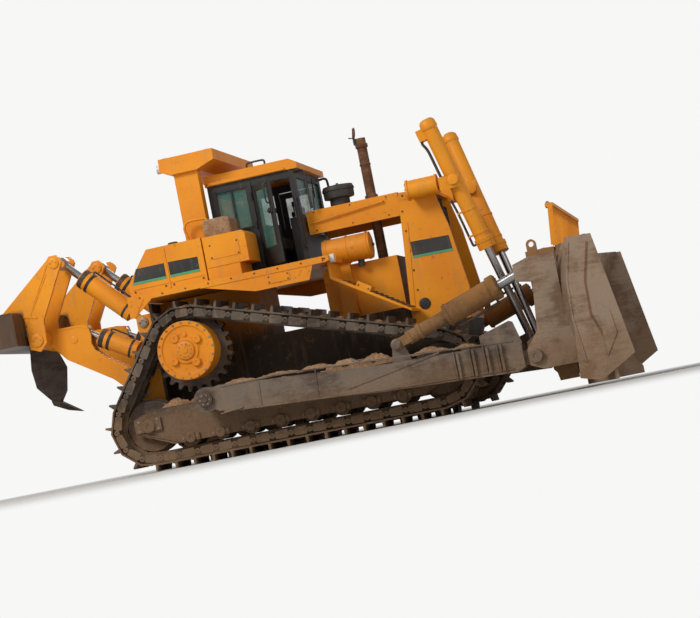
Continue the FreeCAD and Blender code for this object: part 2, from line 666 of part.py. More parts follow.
def undercarriage():
    """Sprockets, final drives, idlers, and roller frames with their rollers, on both sides."""
    rims, drives, idlers, frames = [], [], [], []
    strand = (S.link_spread + S.link_width) / 2
    flange = (S.link_spread - S.link_width) / 2 - S.wheel_gap
    tread = tread_radius(float(S.idler_wheel))
    inside = S.roller_frame_width / 2 + S.frame_plate_gap
    outside = inside + S.frame_plate
    low, top = S.roller_frame_low, S.roller_frame_top
    rear, front = -S.frame_end, S.idler_spread + S.frame_end
    skirt = low - S.frame_skirt
    outline = [(rear, low + 90), (rear, top - 90), (rear + 250, top), (front - 560, top), (front, top - 100),
               (front, low + 90), (front - 460, skirt), (rear + 490, skirt)]
    rim_out = HALF_GAUGE + S.sprocket_thick / 2
    hub = (S.sprocket_x, S.sprocket_height)
    for _, side in SIDES:
        rims.append(toothed_rim(side))
        drives.append(crossways(side, *hub, S.final_radius, S.hull_half, rim_out))
        drives.append(crossways(side, *hub, S.hub_radius, rim_out, HUB_FACE))
        drives.append(crossways(side, *hub, S.hub_boss, HUB_FACE, HUB_FACE + S.hub_boss_rise))
        for station in (dim(0), S.idler_spread):
            for radius, reach in ((tread, strand), (tread + S.idler_flange, flange), (S.idler_axle, inside)):
                idlers.append(crossways(side, station, IDLER_HEIGHT, radius,
                                        HALF_GAUGE - reach, HALF_GAUGE + reach))
        for i in range(int(S.roller_count.number)):
            frames.append(crossways(side, S.roller_first + ROLLER_STEP * i, ROLLER_HEIGHT, S.roller_radius,
                                    HALF_GAUGE - inside, HALF_GAUGE + inside))
        frames.append(across(side, outline, HALF_GAUGE - outside, HALF_GAUGE - inside))
        frames.append(across(side, outline, HALF_GAUGE + inside, HALF_GAUGE + outside))
        frames.append(beside(side, tread + S.frame_plate, low + 80,
                             S.idler_spread - 2 * (tread + S.frame_plate), top - low - 80,
                             HALF_GAUGE - inside, HALF_GAUGE + inside))
        frames.append(crossways(side, S.arm_pivot_x, S.arm_pivot_z, S.arm_pivot, HALF_GAUGE + outside,
                                ARM_OUTER + S.trunnion_proud))
    node("sprockets", rims)
    node("final_drives", drives)
    node("idlers", idlers)
    node("roller_frames", frames)


def main_frame():
    """Hull, rear case, nose under the radiator, pivot shaft, equaliser bar and tow eye."""
    case_top = DECK_LOW - S.case_gap
    rake = S.case_rake
    hull = plate(
        [(S.hull_rear, S.hull_low + rake), (S.hull_rear + rake, S.hull_low), (HULL_FRONT, S.hull_low),
         (HULL_FRONT, S.hull_top), (S.case_front, S.hull_top), (S.case_front, case_top),
         (S.hull_rear, case_top)],
        -S.hull_half, 2 * S.hull_half)
    root = HULL_FRONT - 20
    nose = plate([(root, S.hull_low), (GUARD_NOSE - 190, S.hull_low + rake), (GUARD_NOSE - 60, S.guard_low),
                  (root, S.guard_low)], -S.guard_half, 2 * S.guard_half)
    bars = []
    reach = HALF_GAUGE - S.roller_frame_width / 2 - S.frame_plate_gap - S.frame_plate
    for _, side in SIDES:
        bars.append(crossways(side, S.pivot_shaft_x, S.pivot_shaft_z, S.pivot_shaft, S.hull_half - 10, reach))
        bars.append(beside(side, S.bar_x, S.hull_low + 45, S.bar_deep, S.bar_high, S.hull_half - 10, reach))
    tow_x = GUARD_NOSE + S.tow_ahead
    low = S.tow_height - S.tow_thick / 2
    root = tow_x - 3.3 * S.tow_round
    eye = [box(root, -S.tow_round, low, tow_x - root, 2 * S.tow_round, S.tow_thick),
           drum("Z", tow_x, 0, low, S.tow_round, S.tow_thick)]
    hole = drum("Z", tow_x, 0, low - S.tow_thick, S.tow_bore, 3 * S.tow_thick)
    node("main_frame", [hull, nose] + bars + eye, [hole])


def ripper_bracket():
    """Plate on the rear case, and the cheeks that hold the ripper's arms and cylinders by their pins."""
    sheet = S.cheek_thick
    face = S.hull_rear - sheet
    arm_x, arm_z = S.ripper_arm_x, S.ripper_arm_z
    lift_x, lift_z = S.ripper_lift_x, S.ripper_lift_z
    pitch_x, pitch_z = S.pitch_front_x, S.pitch_front_z
    low, top = arm_z - 160, pitch_z + 100
    node("ripper_bracket", [box(face, -CHEEK_OUTER - sheet, low - 20, sheet, 2 * (CHEEK_OUTER + sheet),
                                DECK_LOW - S.case_gap - low + 20)])
    outline = [(face, low), (arm_x + 50, low), (arm_x - 120, arm_z - 80), (arm_x - 120, arm_z + 50),
               (arm_x - 40, arm_z + 120), (lift_x - 70, arm_z + 240), (lift_x - 90, lift_z - 57),
               (lift_x - 90, lift_z + 53), (lift_x, lift_z + 123), (pitch_x - 90, pitch_z - 80),
               (pitch_x - 90, pitch_z + 60), (pitch_x - 20, top), (face, top)]
    cheeks, holes, foot_pins, pitch_pins = [], [], [], []
    for _, side in SIDES:
        for inner in (CHEEK_INNER - sheet, CHEEK_OUTER):
            cheeks.append(across(side, outline, inner, inner + sheet))
        for x, z in ((arm_x, arm_z), (lift_x, lift_z)):
            foot_pins.append(crossways(side, x, z, S.ripper_pin, CHEEK_INNER, CHEEK_OUTER))
        ends = (CHEEK_INNER - sheet, CHEEK_OUTER + sheet)
        pitch_pins.append(crossways(side, pitch_x, pitch_z, S.ripper_pin, *ends))
        holes.append(crossways(side, pitch_x, pitch_z, S.ripper_pin + S.pin_gap, *ends))
    node("ripper_cheeks", cheeks, holes)
    node("ripper_foot_pins", foot_pins)
    node("ripper_pitch_pins", pitch_pins)


def platform():
    """Walkways with skirts, sloping front fenders and the floor under the cab."""
    sheet, skirt = S.deck_sheet, S.skirt_sheet
    bottom = DECK_LOW - S.skirt_drop
    start, foot = DECK_FRONT - 90, DECK_LOW - 210
    fender_end, fender_low = start + S.fender_run, foot - S.fender_fall
    root = DECK_LOW + 1
    side_skirt = [(TANK_FRONT - 110, root), (DOOR_REAR - 10, bottom), (CAB_FRONT + 110, bottom),
                  (CAB_FRONT + 190, root)]
    fender = [(start, root), (start, foot), (fender_end, fender_low), (fender_end, fender_low + 1.5 * skirt),
              (start + 2 * skirt, foot + skirt), (start + 2 * skirt, root)]
    rear_gusset = [(S.deck_rear, root), (S.deck_rear, bottom - 20), (S.deck_rear + 60, bottom - 20),
                   (S.deck_rear + 330, root)]
    pieces = []
    for _, side in SIDES:
        pieces.append(beside(side, S.deck_rear, DECK_LOW, DECK_FRONT - S.deck_rear, sheet,
                             S.engine_gap, S.deck_half))
        pieces.append(across(side, side_skirt, S.deck_half - skirt, S.deck_half))
        pieces.append(across(side, fender, S.guard_half + 10, HALF_GAUGE - 30))
        pieces.append(across(side, rear_gusset, S.deck_half - skirt, S.deck_half))
    inner = S.engine_gap + 10
    pieces.append(box(S.tank_rear, -inner, DECK_LOW, CAB_FRONT + 40 - S.tank_rear, 2 * inner, sheet))
    node("platform", pieces)


def tanks():
    """Fuel tank across the rear, hydraulic tank and battery box beside the cab."""
    node("fuel_tank", [plate(
        [(S.tank_rear, DECK_TOP), (S.tank_rear, TANK_TOP - S.tank_slope_fall),
         (S.tank_rear + S.tank_slope, TANK_TOP), (TANK_FRONT, TANK_TOP), (TANK_FRONT, DECK_TOP)],
        -S.tank_half, 2 * S.tank_half)])
    start, end = TANK_FRONT + 20, DOOR_REAR - 40
    step, top = DECK_TOP + S.box_step, TANK_TOP - 10
    outline = [(start, DECK_TOP), (start, top), (end - 40, top), (end, top - 40), (end, step),
               (end - S.box_inset, step), (end - S.box_inset, DECK_TOP)]
    for label, side in (("hydraulic_tank", -1), ("battery_box", 1)):
        node(label, [across(side, outline, S.cab_half + S.box_gap, S.tank_half)])


def roll_over_frame():
    """Canopy beam with raked undersides on two posts, each with a foot on the fuel tank."""
    canopy_end = CANOPY_REAR + S.canopy_length
    beam = [(CANOPY_REAR, CANOPY_LOW + 60), (CANOPY_REAR, CANOPY_TOP), (canopy_end, CANOPY_TOP),
            (canopy_end, CANOPY_LOW + 90), (POST_FRONT + 20, CANOPY_LOW), (POST_REAR - 20, CANOPY_LOW)]
    pieces = [plate(beam, -S.canopy_half, 2 * S.canopy_half)]
    foot = TANK_TOP + S.foot_plate
    for _, side in SIDES:
        pieces.append(beside(side, POST_REAR, foot, S.post_length, CANOPY_LOW - foot,
                             S.post_inner, POST_OUTER))
        pieces.append(beside(side, POST_REAR - 60, TANK_TOP, TANK_FRONT - POST_REAR + 60, S.foot_plate,
                             S.post_inner - 30, POST_OUTER + 30))
    node("rops", pieces)


def cab():
    """Hollow cab: walls with windows and doorways, roof, glass, seat and consoles."""
    wall, glass = S.cab_wall, S.glass_thick
    length = S.cab_length
    inset = (wall - glass) / 2
    floor = DECK_TOP + wall
    low_front, low_rear = SILL - 200, SILL + 120
    shell = box(S.cab_rear, -S.cab_half, DECK_TOP, length, 2 * S.cab_half, S.cab_height)
    cuts = [
        box(S.cab_rear + wall, -(S.cab_half - wall), floor, length - 2 * wall, 2 * (S.cab_half - wall),
            S.cab_height),
        box(CAB_FRONT - 2 * wall, -FRONT_HALF, low_front, 3 * wall, 2 * FRONT_HALF, HEAD - low_front),
        box(S.cab_rear - wall, -FRONT_HALF, low_rear, 3 * wall, 2 * FRONT_HALF, HEAD - low_rear)]
    panes = [
        box(CAB_FRONT - wall + inset, -FRONT_HALF, low_front, glass, 2 * FRONT_HALF, HEAD - low_front),
        box(S.cab_rear + inset, -FRONT_HALF, low_rear, glass, 2 * FRONT_HALF, HEAD - low_rear)]
    side_start = S.cab_rear + S.cab_post - 10
    side_length = DOOR_REAR - S.cab_rear - 170
    for _, side in SIDES:
        cuts.append(beside(side, DOOR_REAR, floor, S.door_width, HEAD - floor,
                           S.cab_half - 2 * wall, S.cab_half + 10))
        cuts.append(beside(side, side_start, SILL, side_length, HEAD - SILL,
                           S.cab_half - 2 * wall, S.cab_half + 10))
        panes.append(beside(side, side_start, SILL, side_length, HEAD - SILL, S.cab_half - wall + inset,
                            S.cab_half - inset))
    node("cab_frame", [shell], cuts)
    brim = 20
    roof_half = S.cab_half + brim
    node("cab_roof", [plate(
        [(S.cab_rear - brim, ROOF_LOW), (S.cab_rear - brim, ROOF_TOP), (CAB_FRONT - 30, ROOF_TOP),
         (CAB_FRONT + 70, ROOF_TOP - 60), (CAB_FRONT + 70, ROOF_LOW)], -roof_half, 2 * roof_half)])
    node("cab_glass", panes)
    seat_x = S.cab_rear + 180
    node("seat", [
        box(seat_x + 90, -180, floor, 380, 360, 261),
        box(seat_x + 70, -260, floor + 260, 520, 520, 141),
        box(seat_x, -250, floor + 400, 140, 500, 600)])
    node("console", [
        box(CAB_FRONT - 240, -420, floor, 150, 840, 620),
        box(seat_x + 230, 380, floor, 380, 190, 560),
        box(seat_x + 230, -570, floor, 380, 190, 560)])


def door(name, side, opening):
    """A door's frame and pane, shut in its doorway and then swung open about its rear edge."""
    gap, border = S.door_gap, 80
    low = DECK_TOP + S.cab_wall + gap
    tall = HEAD - low - gap
    outer = S.cab_half - 5
    inner = outer - 40
    window = (DOOR_REAR + border, low + 3 * border, S.door_width - 2 * border, tall - 4 * border)
    leaf = beside(side, DOOR_REAR + gap, low, S.door_width - 2 * gap, tall, inner, outer)
    opened = beside(side, window[0], window[1], window[2], window[3], inner - 10, outer + 10)
    pane = beside(side, window[0], window[1], window[2], window[3], inner + 14, outer - 14)
    frame = DOC.addObject("Part::Cut", "leaf")
    frame.Base, frame.Tool = leaf, opened
    DOC.recompute()
    hinge = point(DOOR_REAR, side * float(S.cab_half), 0)
    for label, piece in ((f"door_{name}", frame), (f"door_glass_{name}", pane)):
        shape = piece.Shape.copy()
        shape.rotate(hinge, V(0, 0, 1), side * opening)
        node(label, [made(shape)])


def radiator_guard():
    """Radiator guard with the bearing housings of the lift cylinders' yokes, core and grille."""
    skin, rim = S.guard_skin, 90
    guard_line = [
        (GUARD_REAR, GUARD_TOP), (GUARD_NOSE - 230, GUARD_TOP - 40), (GUARD_NOSE - 110, GUARD_TOP - 550),
        (GUARD_NOSE, S.guard_low + 390), (GUARD_NOSE - 60, S.guard_low), (HULL_FRONT + 10, S.guard_low),
        (HULL_FRONT + 10, S.guard_low + 220)]
    rear, front = HULL_FRONT - skin, GUARD_NOSE + rim
    low, high = S.guard_low + rim, GUARD_TOP - rim
    inner_line = [(rear, high), (front, high), (front, low), (rear, low)]
    housing_front = TRUNNION_X - S.housing_back
    housing_rear = housing_front - S.housing_length
    housings, bores = [], []
    for _, side in SIDES:
        middle = side * S.trunnion_side
        start, width = span(side, S.guard_half - 10, S.trunnion_side)
        housings.append(box(housing_rear + 40, start, TRUNNION_Z - 110, S.housing_length - 80, width, 220))
        housings.append(drum("X", housing_rear, middle, TRUNNION_Z, S.housing, S.housing_length))
        bores.append(drum("X", housing_rear - 20, middle, TRUNNION_Z, S.yoke_spindle + S.rod_gap,
                          S.housing_length + 40))
    half = S.guard_half - skin
    node("radiator_guard", [plate(guard_line, -S.guard_half, 2 * S.guard_half)] + housings,
         [plate(inner_line, -half, 2 * half)] + bores)
    node("radiator", [box(GUARD_REAR + 30, -half, low, 220, 2 * half, high - low)])
    bar = 24
    grille_x = GUARD_NOSE - 330
    columns, rows = 9, 5
    bars = [box(grille_x, -half + 2 * half * (i + 1) / (columns + 1) - bar / 2, low, 40, bar, high - low)
            for i in range(columns)]
    bars += [box(grille_x + 10, -half, low + (high - low) * (i + 1) / (rows + 1), 20, 2 * half, bar)
             for i in range(rows)]
    node("grille", bars)


def engine_bay():
    """Hood, engine block, air cleaner, precleaner and exhaust with its rain cap."""
    sheet, low = S.hood_sheet, HOOD_TOP - S.hood_side
    hood = box(HOOD_REAR, -S.hood_half, low, S.hood_length, 2 * S.hood_half, S.hood_side)
    hollow = box(HOOD_REAR - 10, -(S.hood_half - sheet), low - 10, S.hood_length + 20,
                 2 * (S.hood_half - sheet), S.hood_side - sheet + 10)
    hole = drum("Z", STACK_X, 0, HOOD_TOP - 100, S.stack_radius + 12, 200)
    node("hood", [hood], [hollow, hole])
    engine_end = HULL_FRONT - S.guard_skin
    engine_top = S.hull_top + S.engine_rise
    node("engine", [box(engine_end - S.engine_length, -S.engine_half, S.hull_top, S.engine_length,
                        2 * S.engine_half, S.engine_rise)])
    cleaner_x = CAB_FRONT + S.cleaner_ahead
    cleaner_z = DECK_TOP + S.cleaner_rise
    node("air_cleaner", [
        drum("X", cleaner_x, -S.cleaner_side, cleaner_z, S.cleaner_radius, S.cleaner_length),
        box(cleaner_x + 100, -S.cleaner_side - 25, S.hull_top, 200, S.cleaner_side + 25 - S.engine_half - 5,
            cleaner_z - 95 - S.hull_top)])
    bowl_x = CAB_FRONT + S.precleaner_ahead
    node("precleaner", [
        drum("Z", bowl_x, -S.precleaner_side, HOOD_TOP, S.precleaner_neck, 121),
        drum("Z", bowl_x, -S.precleaner_side, HOOD_TOP + 120, S.precleaner_bowl, 160)])
    node("exhaust_stack", [drum("Z", STACK_X, 0, engine_top, S.stack_radius, STACK_TOP - engine_top)],
         [drum("Z", STACK_X, 0, engine_top + 300, S.stack_bore, STACK_TOP - engine_top)])
    base = float(STACK_TOP) + 8
    turned = Part.makeCylinder(float(S.stack_radius) + 7, 6, point(STACK_X, 0, base), V(0, 0, 1))
    turned.rotate(point(float(STACK_X) - float(S.stack_radius) - 12, 0, base), V(0, 1, 0), -80)
    node("rain_cap", [made(turned)])


def push_arms():
    """Push arms: ribbed box beams from the trunnions to the blade, with lugs for the tilt cylinders."""
    pivot_x, pivot_z = S.arm_pivot_x, S.arm_pivot_z
    pin_x, pin_z = BLADE_PIN_X, S.blade_pin_z
    lug_x, lug_z = BLADE_PIN_X - S.tilt_back, S.tilt_z
    line = [(pivot_x + 80, pivot_z - 130), (pivot_x + 160, pivot_z - 170), (lug_x - 250, pin_z - 69),
            (pin_x - 260, pin_z - 153), (pin_x - 150, pin_z - 103), (pin_x - 150, pin_z + 157),
            (pin_x - 210, pin_z + 221), (lug_x - 140, lug_z - 215), (pivot_x + 190, pivot_z + 155),
            (pivot_x + 80, pivot_z + 130)]
    shield = [(pin_x - 640, pin_z + 200), (pin_x - 640, pin_z + 367), (pin_x - 250, pin_z + 482),
              (pin_x - 205, pin_z + 462), (pin_x - 135, pin_z + 187), (pin_x - 210, pin_z + 137)]
    lug = [(lug_x - 110, lug_z - 275), (lug_x - 60, lug_z + 60), (lug_x + 60, lug_z + 60),
           (lug_x + 160, lug_z - 275)]
    lug_in, lug_out = ARM_MIDDLE - S.tilt_lug / 2, ARM_MIDDLE + S.tilt_lug / 2
    eye_in, eye_out = ARM_INNER + 60, ARM_OUTER - 60
    pieces, cuts = [], []
    for _, side in SIDES:
        pieces += [
            across(side, line, ARM_INNER, ARM_OUTER),
            across(side, shield, ARM_OUTER - 20, ARM_OUTER),
            crossways(side, pivot_x, pivot_z, S.arm_pivot + 70, ARM_INNER, ARM_OUTER),
            crossways(side, pin_x, pin_z, S.blade_eye, eye_in, eye_out),
            beside(side, pin_x - 170, pin_z - 90, 130, 180, eye_in, eye_out),
            across(side, lug, lug_in, lug_out),
            crossways(side, lug_x, lug_z, S.tilt_pin, lug_in - 60, lug_out + 60)]
        for back in (960, 765, 590, 420):
            pieces.append(beside(side, pin_x - back, pin_z - 103, S.rib_thick, 320,
                                 ARM_OUTER - 1, ARM_OUTER + S.rib_rise))
        for bore_x, bore_z, pin in ((pivot_x, pivot_z, S.arm_pivot), (pin_x, pin_z, S.blade_pin)):
            cuts.append(crossways(side, bore_x, bore_z, pin + S.rod_gap, ARM_INNER - 10, ARM_OUTER + 10))
    node("push_arms", pieces, cuts)


def board_section(y, reach, ahead=0):
    """One section of the moldboard: a hollow front and a back at one thickness."""
    low, top, front = float(S.blade_low), float(BLADE_TOP), float(BLADE_FRONT) + float(reach) + ahead
    back = V(-float(S.blade_sheet) - ahead, 0, 0)
    upper = point(front, y, top)
    middle = point(front - float(S.blade_hollow), y, (low + top) / 2)
    lower = point(front + float(S.blade_toe), y, low)
    return Part.Wire([
        Part.Arc(upper, middle, lower).toShape(), Part.makeLine(lower, lower + back),
        Part.Arc(lower + back, middle + back, upper + back).toShape(), Part.makeLine(upper + back, upper)])


def edge_bit(corners):
    """A straight piece of the cutting edge, from its corners in plan (station, side)."""
    low = float(S.edge_low)
    line = [point(x, y, low) for x, y in corners]
    return made(Part.Face(Part.makePolygon(line + line[:1])).extrude(V(0, 0, float(S.blade_low) - low)))


def blade():
    """Semi-U blade: curved moldboard with end plates, cutting edge, rear box, brackets and rock guard."""
    rows = ((-S.blade_half, S.wing_reach), (-S.blade_straight, 0), (S.blade_straight, 0),
            (S.blade_half, S.wing_reach))
    board = made(Part.makeLoft([board_section(y, reach) for y, reach in rows], True, True))
    sheet, half = S.frame_sheet, BOX_HALF
    back, low, top = BLADE_PIN_X + S.box_behind, S.blade_low, BLADE_TOP
    front = BLADE_FRONT + S.wing_reach
    lug_x, lug_z = BLADE_PIN_X + S.lug_ahead, BLADE_TOP + S.lug_rise
    pin_x, pin_z = BLADE_PIN_X, S.blade_pin_z
    eye_z = pin_z + S.tilt_eye_rise
    end_line = [(front - 260, top), (front + 60, top - 10), (front + 300, low + 170), (front - 140, low - 80),
                (front - 390, low - 10)]
    rib_line = [(back - 20, S.box_top - 60), (back + 60, top - 10), (back + 300, top - 10),
                (back + 300, S.box_top - 60)]
    side_line = [(back - 60, top - 10), (back + 300, top - 10), (back + 300, low + 10), (back + 60, low + 10),
                 (back - 60, low + 660)]
    box_line = [(back, low + 160), (back, S.box_top - 60), (back + 60, S.box_top), (back + 330, S.box_top),
                (back + 330, low + 60), (back + 80, low + 60)]
    cheek = [(pin_x - 90, pin_z - 103), (pin_x - 90, pin_z + 97), (pin_x + 70, pin_z + 297),
             (back, eye_z - 140), (pin_x - 70, eye_z - 100), (pin_x - 70, eye_z + 100), (back, eye_z + 160),
             (back + 320, eye_z + 160), (back + 320, low + 830), (back + 420, low + 190),
             (pin_x + 70, low + 190)]
    eye_x, lift_z = pin_x - S.lift_eye_back, pin_z + S.lift_eye_rise
    lift_cheek = [(eye_x - 80, lift_z - 80), (eye_x - 80, lift_z + 80), (back, lift_z + 320),
                  (back, lift_z - 180), (eye_x + 140, lift_z - 220)]
    ends, frame, arms, lifts, holes = [], [], [], [], []
    for _, side in SIDES:
        lug = (half + sheet / 2 - S.lug_thick / 2, half + sheet / 2 + S.lug_thick / 2)
        frame.append(crossways(side, lug_x, lug_z, S.lug_round, *lug))
        frame.append(beside(side, lug_x - S.lug_round, top - 100, 2 * S.lug_round, lug_z - top + 100, *lug))
        holes.append(crossways(side, lug_x, lug_z, S.lug_bore, lug[0] - 10, lug[1] + 10))
        ends.append(across(side, end_line, S.blade_half, S.blade_half + S.end_plate))
        frame.append(across(side, side_line, half, half + sheet))
        frame.append(across(side, rib_line, half / 2, half / 2 + sheet))
        inside, outside = ARM_INNER + S.bracket_clear, ARM_OUTER - S.bracket_clear
        for inner in (inside, outside - sheet):
            arms.append(across(side, cheek, inner, inner + sheet))
        arms.append(crossways(side, pin_x, pin_z, S.blade_pin, inside, outside))
        for inner in (S.lift_eye_side - S.eye_room_inner, S.lift_eye_side + S.eye_room_outer):
            lifts.append(across(side, lift_cheek, inner, inner + S.eye_cheek))
    frame.append(plate(box_line, -half - 1, 2 * half + 2))
    frame.append(box(back + 60, -half - 1, top - 50, 240, 2 * half + 2, sheet))
    node("moldboard", [board] + ends)
    for label, pieces, extra in (("blade_frame", frame, holes), ("arm_brackets", arms, [])):
        behind = made(Part.makeLoft([board_section(y, reach, 900) for y, reach in rows], True, True))
        node(label, pieces, [behind] + extra)
    node("lift_brackets", lifts)
    toe, thick, middle = float(BLADE_FRONT + S.blade_toe), float(S.edge_thick), float(S.blade_straight)
    tip, wing = float(S.blade_half), float(S.wing_reach)
    node("cutting_edge", [
        edge_bit([(toe, -middle), (toe, middle), (toe - thick, middle), (toe - thick, -middle)]),
        edge_bit([(toe, middle), (toe + wing, tip), (toe + wing - thick, tip), (toe - thick, middle)]),
        edge_bit([(toe, -middle), (toe + wing, -tip), (toe + wing - thick, -tip), (toe - thick, -middle)])])
    rock_guard()


def rock_guard():
    """Upright fins above the moldboard, joined by a rail."""
    rear, foot, rail = BLADE_FRONT - 70, BLADE_TOP, BLADE_TOP + S.rock_guard_rise
    reach, fin = S.rock_guard_half, S.rock_fin
    under = rail - S.rock_rail + 10
    count = int(S.rock_fins.number)
    pieces = []
    for i in range(count):
        y = -reach + 2 * reach * i / (count - 1)
        pieces.append(plate([(rear, foot), (rear + 60, foot), (rear + 110, under), (rear + 50, under)],
                            y - fin / 2, fin))
    pieces.append(box(rear + 20, -reach - fin / 2, rail - S.rock_rail, 100, 2 * reach + fin, S.rock_rail))
    node("rock_guard", pieces)


def lift_cylinders():
    """Blade lift cylinders in their yokes: tops wide apart, rods running in towards the blade."""
    shell, shaft = float(S.lift_barrel), float(S.lift_rod)
    head, body = float(S.lift_head), float(S.lift_body)
    gland, rise = float(S.gland_long), float(S.gland_rise)
    pin, half = float(S.trunnion_pin), float(S.trunnion_half)
    room, cheek, high = float(S.yoke_room), float(S.yoke_cheek), float(S.yoke_high)
    for name, side in SIDES:
        top = point(TRUNNION_X, side * float(S.trunnion_side), TRUNNION_Z)
        eye = point(BLADE_PIN_X - S.lift_eye_back, side * float(S.lift_eye_side),
                    S.blade_pin_z + S.lift_eye_rise)
        way = (eye - top).normalize()
        splay = math.degrees(math.atan2(abs(top.y - eye.y), top.z - eye.z))
        barrel = rod(top - way * head, top + way * body, shell).Shape
        barrel = barrel.fuse(rod(top + way * (body - gland), top + way * body, shell + rise).Shape)
        trunnion = Part.makeCylinder(pin, 2 * half, top - V(0, half, 0), V(0, 1, 0))
        trunnion.rotate(top, V(1, 0, 0), -side * splay)
        bore = rod(top - way * (head - gland), top + way * (body + 10), shaft + float(S.rod_gap)).Shape
        node(f"lift_barrel_{name}", [made(barrel.fuse(trunnion).cut(bore))])
        bar = rod(top + way * float(S.lift_rod_start), eye - way * 60, shaft).Shape
        width = float(S.lift_eye_width)
        bar = bar.fuse(Part.makeCylinder(float(S.lift_eye), width, eye - V(0, width / 2, 0), V(0, 1, 0)))
        hole = Part.makeCylinder(float(S.lift_eye_bore), width + 20, eye - V(0, width / 2 + 10, 0), V(0, 1, 0))
        node(f"lift_rod_{name}", [made(bar.cut(hole))])
        back = 190
        fork = Part.makeBox(back + 75, cheek, high, top + V(-back, -room - cheek, -high / 2))
        fork = fork.fuse(Part.makeBox(back + 75, cheek, high, top + V(-back, room, -high / 2)))
        fork = fork.fuse(Part.makeBox(50, 2 * (room + cheek), high, top + V(-back, -room - cheek, -high / 2)))
        fork = fork.cut(Part.makeCylinder(pin + float(S.rod_gap), 4 * half, top - V(0, 2 * half, 0),
                                          V(0, 1, 0)))
        fork.rotate(top, V(1, 0, 0), -side * splay)
        reach = float(S.housing_back) + float(S.housing_length) - 20
        spindle = Part.makeCylinder(float(S.yoke_spindle), reach - back + 10, top - V(reach, 0, 0), V(1, 0, 0))
        node(f"lift_yoke_{name}", [made(fork.fuse(spindle))])


def tilt_cylinders():
    """Cylinders between the push arms and the blade, which pitch the blade."""
    barrels, rods = [], []
    shell, shaft, tube = float(S.tilt_barrel), float(S.tilt_rod), float(S.tilt_tube)
    offset = float(S.tilt_lug) / 2 + 32
    for _, side in SIDES:
        y = side * float(ARM_MIDDLE)
        rear = point(BLADE_PIN_X - S.tilt_back, y, S.tilt_z)
        eye = point(BLADE_PIN_X, y, S.blade_pin_z + S.tilt_eye_rise)
        way = (eye - rear).normalize()
        length = (eye - rear).Length
        end = length - 320
        barrel = rod(rear + way * 150, rear + way * 720, tube).Shape
        barrel = barrel.fuse(rod(rear + way * 700, rear + way * end, shell).Shape)
        for hand in (-1, 1):
            cheek = Part.makeCylinder(75, 40, rear + V(0, offset * hand - 20, 0), V(0, 1, 0))
            arm = Part.makeBox(200, 40, 120)
            turned = FreeCAD.Placement(rear + V(0, offset * hand, 0), FreeCAD.Rotation(V(1, 0, 0), way))
            arm.Placement = turned.multiply(FreeCAD.Placement(V(0, -20, -60), FreeCAD.Rotation()))
            barrel = barrel.fuse(cheek).fuse(arm)
        pin_hole = float(S.tilt_pin) + float(S.pin_gap)
        barrel = barrel.cut(Part.makeCylinder(pin_hole, 300, rear - V(0, 150, 0), V(0, 1, 0)))
        bore = rod(rear + way * 860, rear + way * (end + 10), shaft + float(S.rod_gap)).Shape
        barrels.append(made(barrel.cut(bore)))
        bar = rod(rear + way * (length - 700), eye - way * 60, shaft).Shape
        bar = bar.fuse(Part.makeCylinder(90, 100, eye - V(0, 50, 0), V(0, 1, 0)))
        rods.append(made(bar.cut(Part.makeCylinder(48, 120, eye - V(0, 60, 0), V(0, 1, 0)))))
    node("tilt_barrels", barrels)
    node("tilt_rods", rods)


# Ripper cylinders: name, foot (station, height), run to the eye (along, up), then the radii of barrel and
# rod, and the lengths of the neck, of the rod, of its bare part and of the room behind it
RIPPER_CYLINDERS = (
    ("ripper_lift", (S.ripper_lift_x, S.ripper_lift_z), (S.lift_reach, S.lift_climb),
     (125.0, 46.0), (60.0, 520.0, 230.0, 10.0)),
    ("ripper_pitch", (S.pitch_front_x, S.pitch_front_z), (S.pitch_reach, S.pitch_climb),
     (130.0, 52.0), (130.0, 520.0, 330.0, 140.0)),
)


def ripper_cylinders():
    """Two pairs of cylinders: barrels with an eye at their foot, rods with an eye at their end."""
    width = float(S.cheek_room / 2 - S.arm_clear)
    pin = float(S.ripper_pin) + float(S.pin_gap)
    foot_round, across_y = float(S.ripper_foot), V(0, 1, 0)
    for label, foot_place, run, (shell, shaft), (neck, length, bare, room) in RIPPER_CYLINDERS:
        barrels, rods = [], []
        for _, side in SIDES:
            y = side * float(CYLINDER_SIDE)
            foot = point(foot_place[0], y, foot_place[1])
            head = foot + V(-float(run[0]), 0, float(run[1]))
            way = (head - foot).normalize()
            start, end = foot_round + neck, (head - foot).Length - bare
            half, deep = V(0, width / 2, 0), V(0, width / 2 + 10, 0)
            barrel = rod(foot + way * start, foot + way * end, shell).Shape
            barrel = barrel.fuse(rod(foot + way * 60, foot + way * (start + 5), float(S.ripper_neck)).Shape)
            barrel = barrel.fuse(Part.makeCylinder(foot_round, width, foot - half, across_y))
            barrel = barrel.cut(Part.makeCylinder(pin, width + 20, foot - deep, across_y))
            bore = rod(foot + way * (end - length - room), foot + way * (end + 10), shaft + float(S.rod_gap))
            barrels.append(made(barrel.cut(bore.Shape)))
            bar = rod(foot + way * (end - length), head - way * 60, shaft).Shape
            bar = bar.fuse(Part.makeCylinder(float(S.ripper_eye), width, head - half, across_y))
            rods.append(made(bar.cut(Part.makeCylinder(44, width + 20, head - deep, across_y))))
        node(f"{label}_barrels", barrels)
        node(f"{label}_rods", rods)


def near(pin, *offsets):
    """Places given as offsets (along, up) from a pin."""
    return [(pin[0] + along, pin[1] + up) for along, up in offsets]


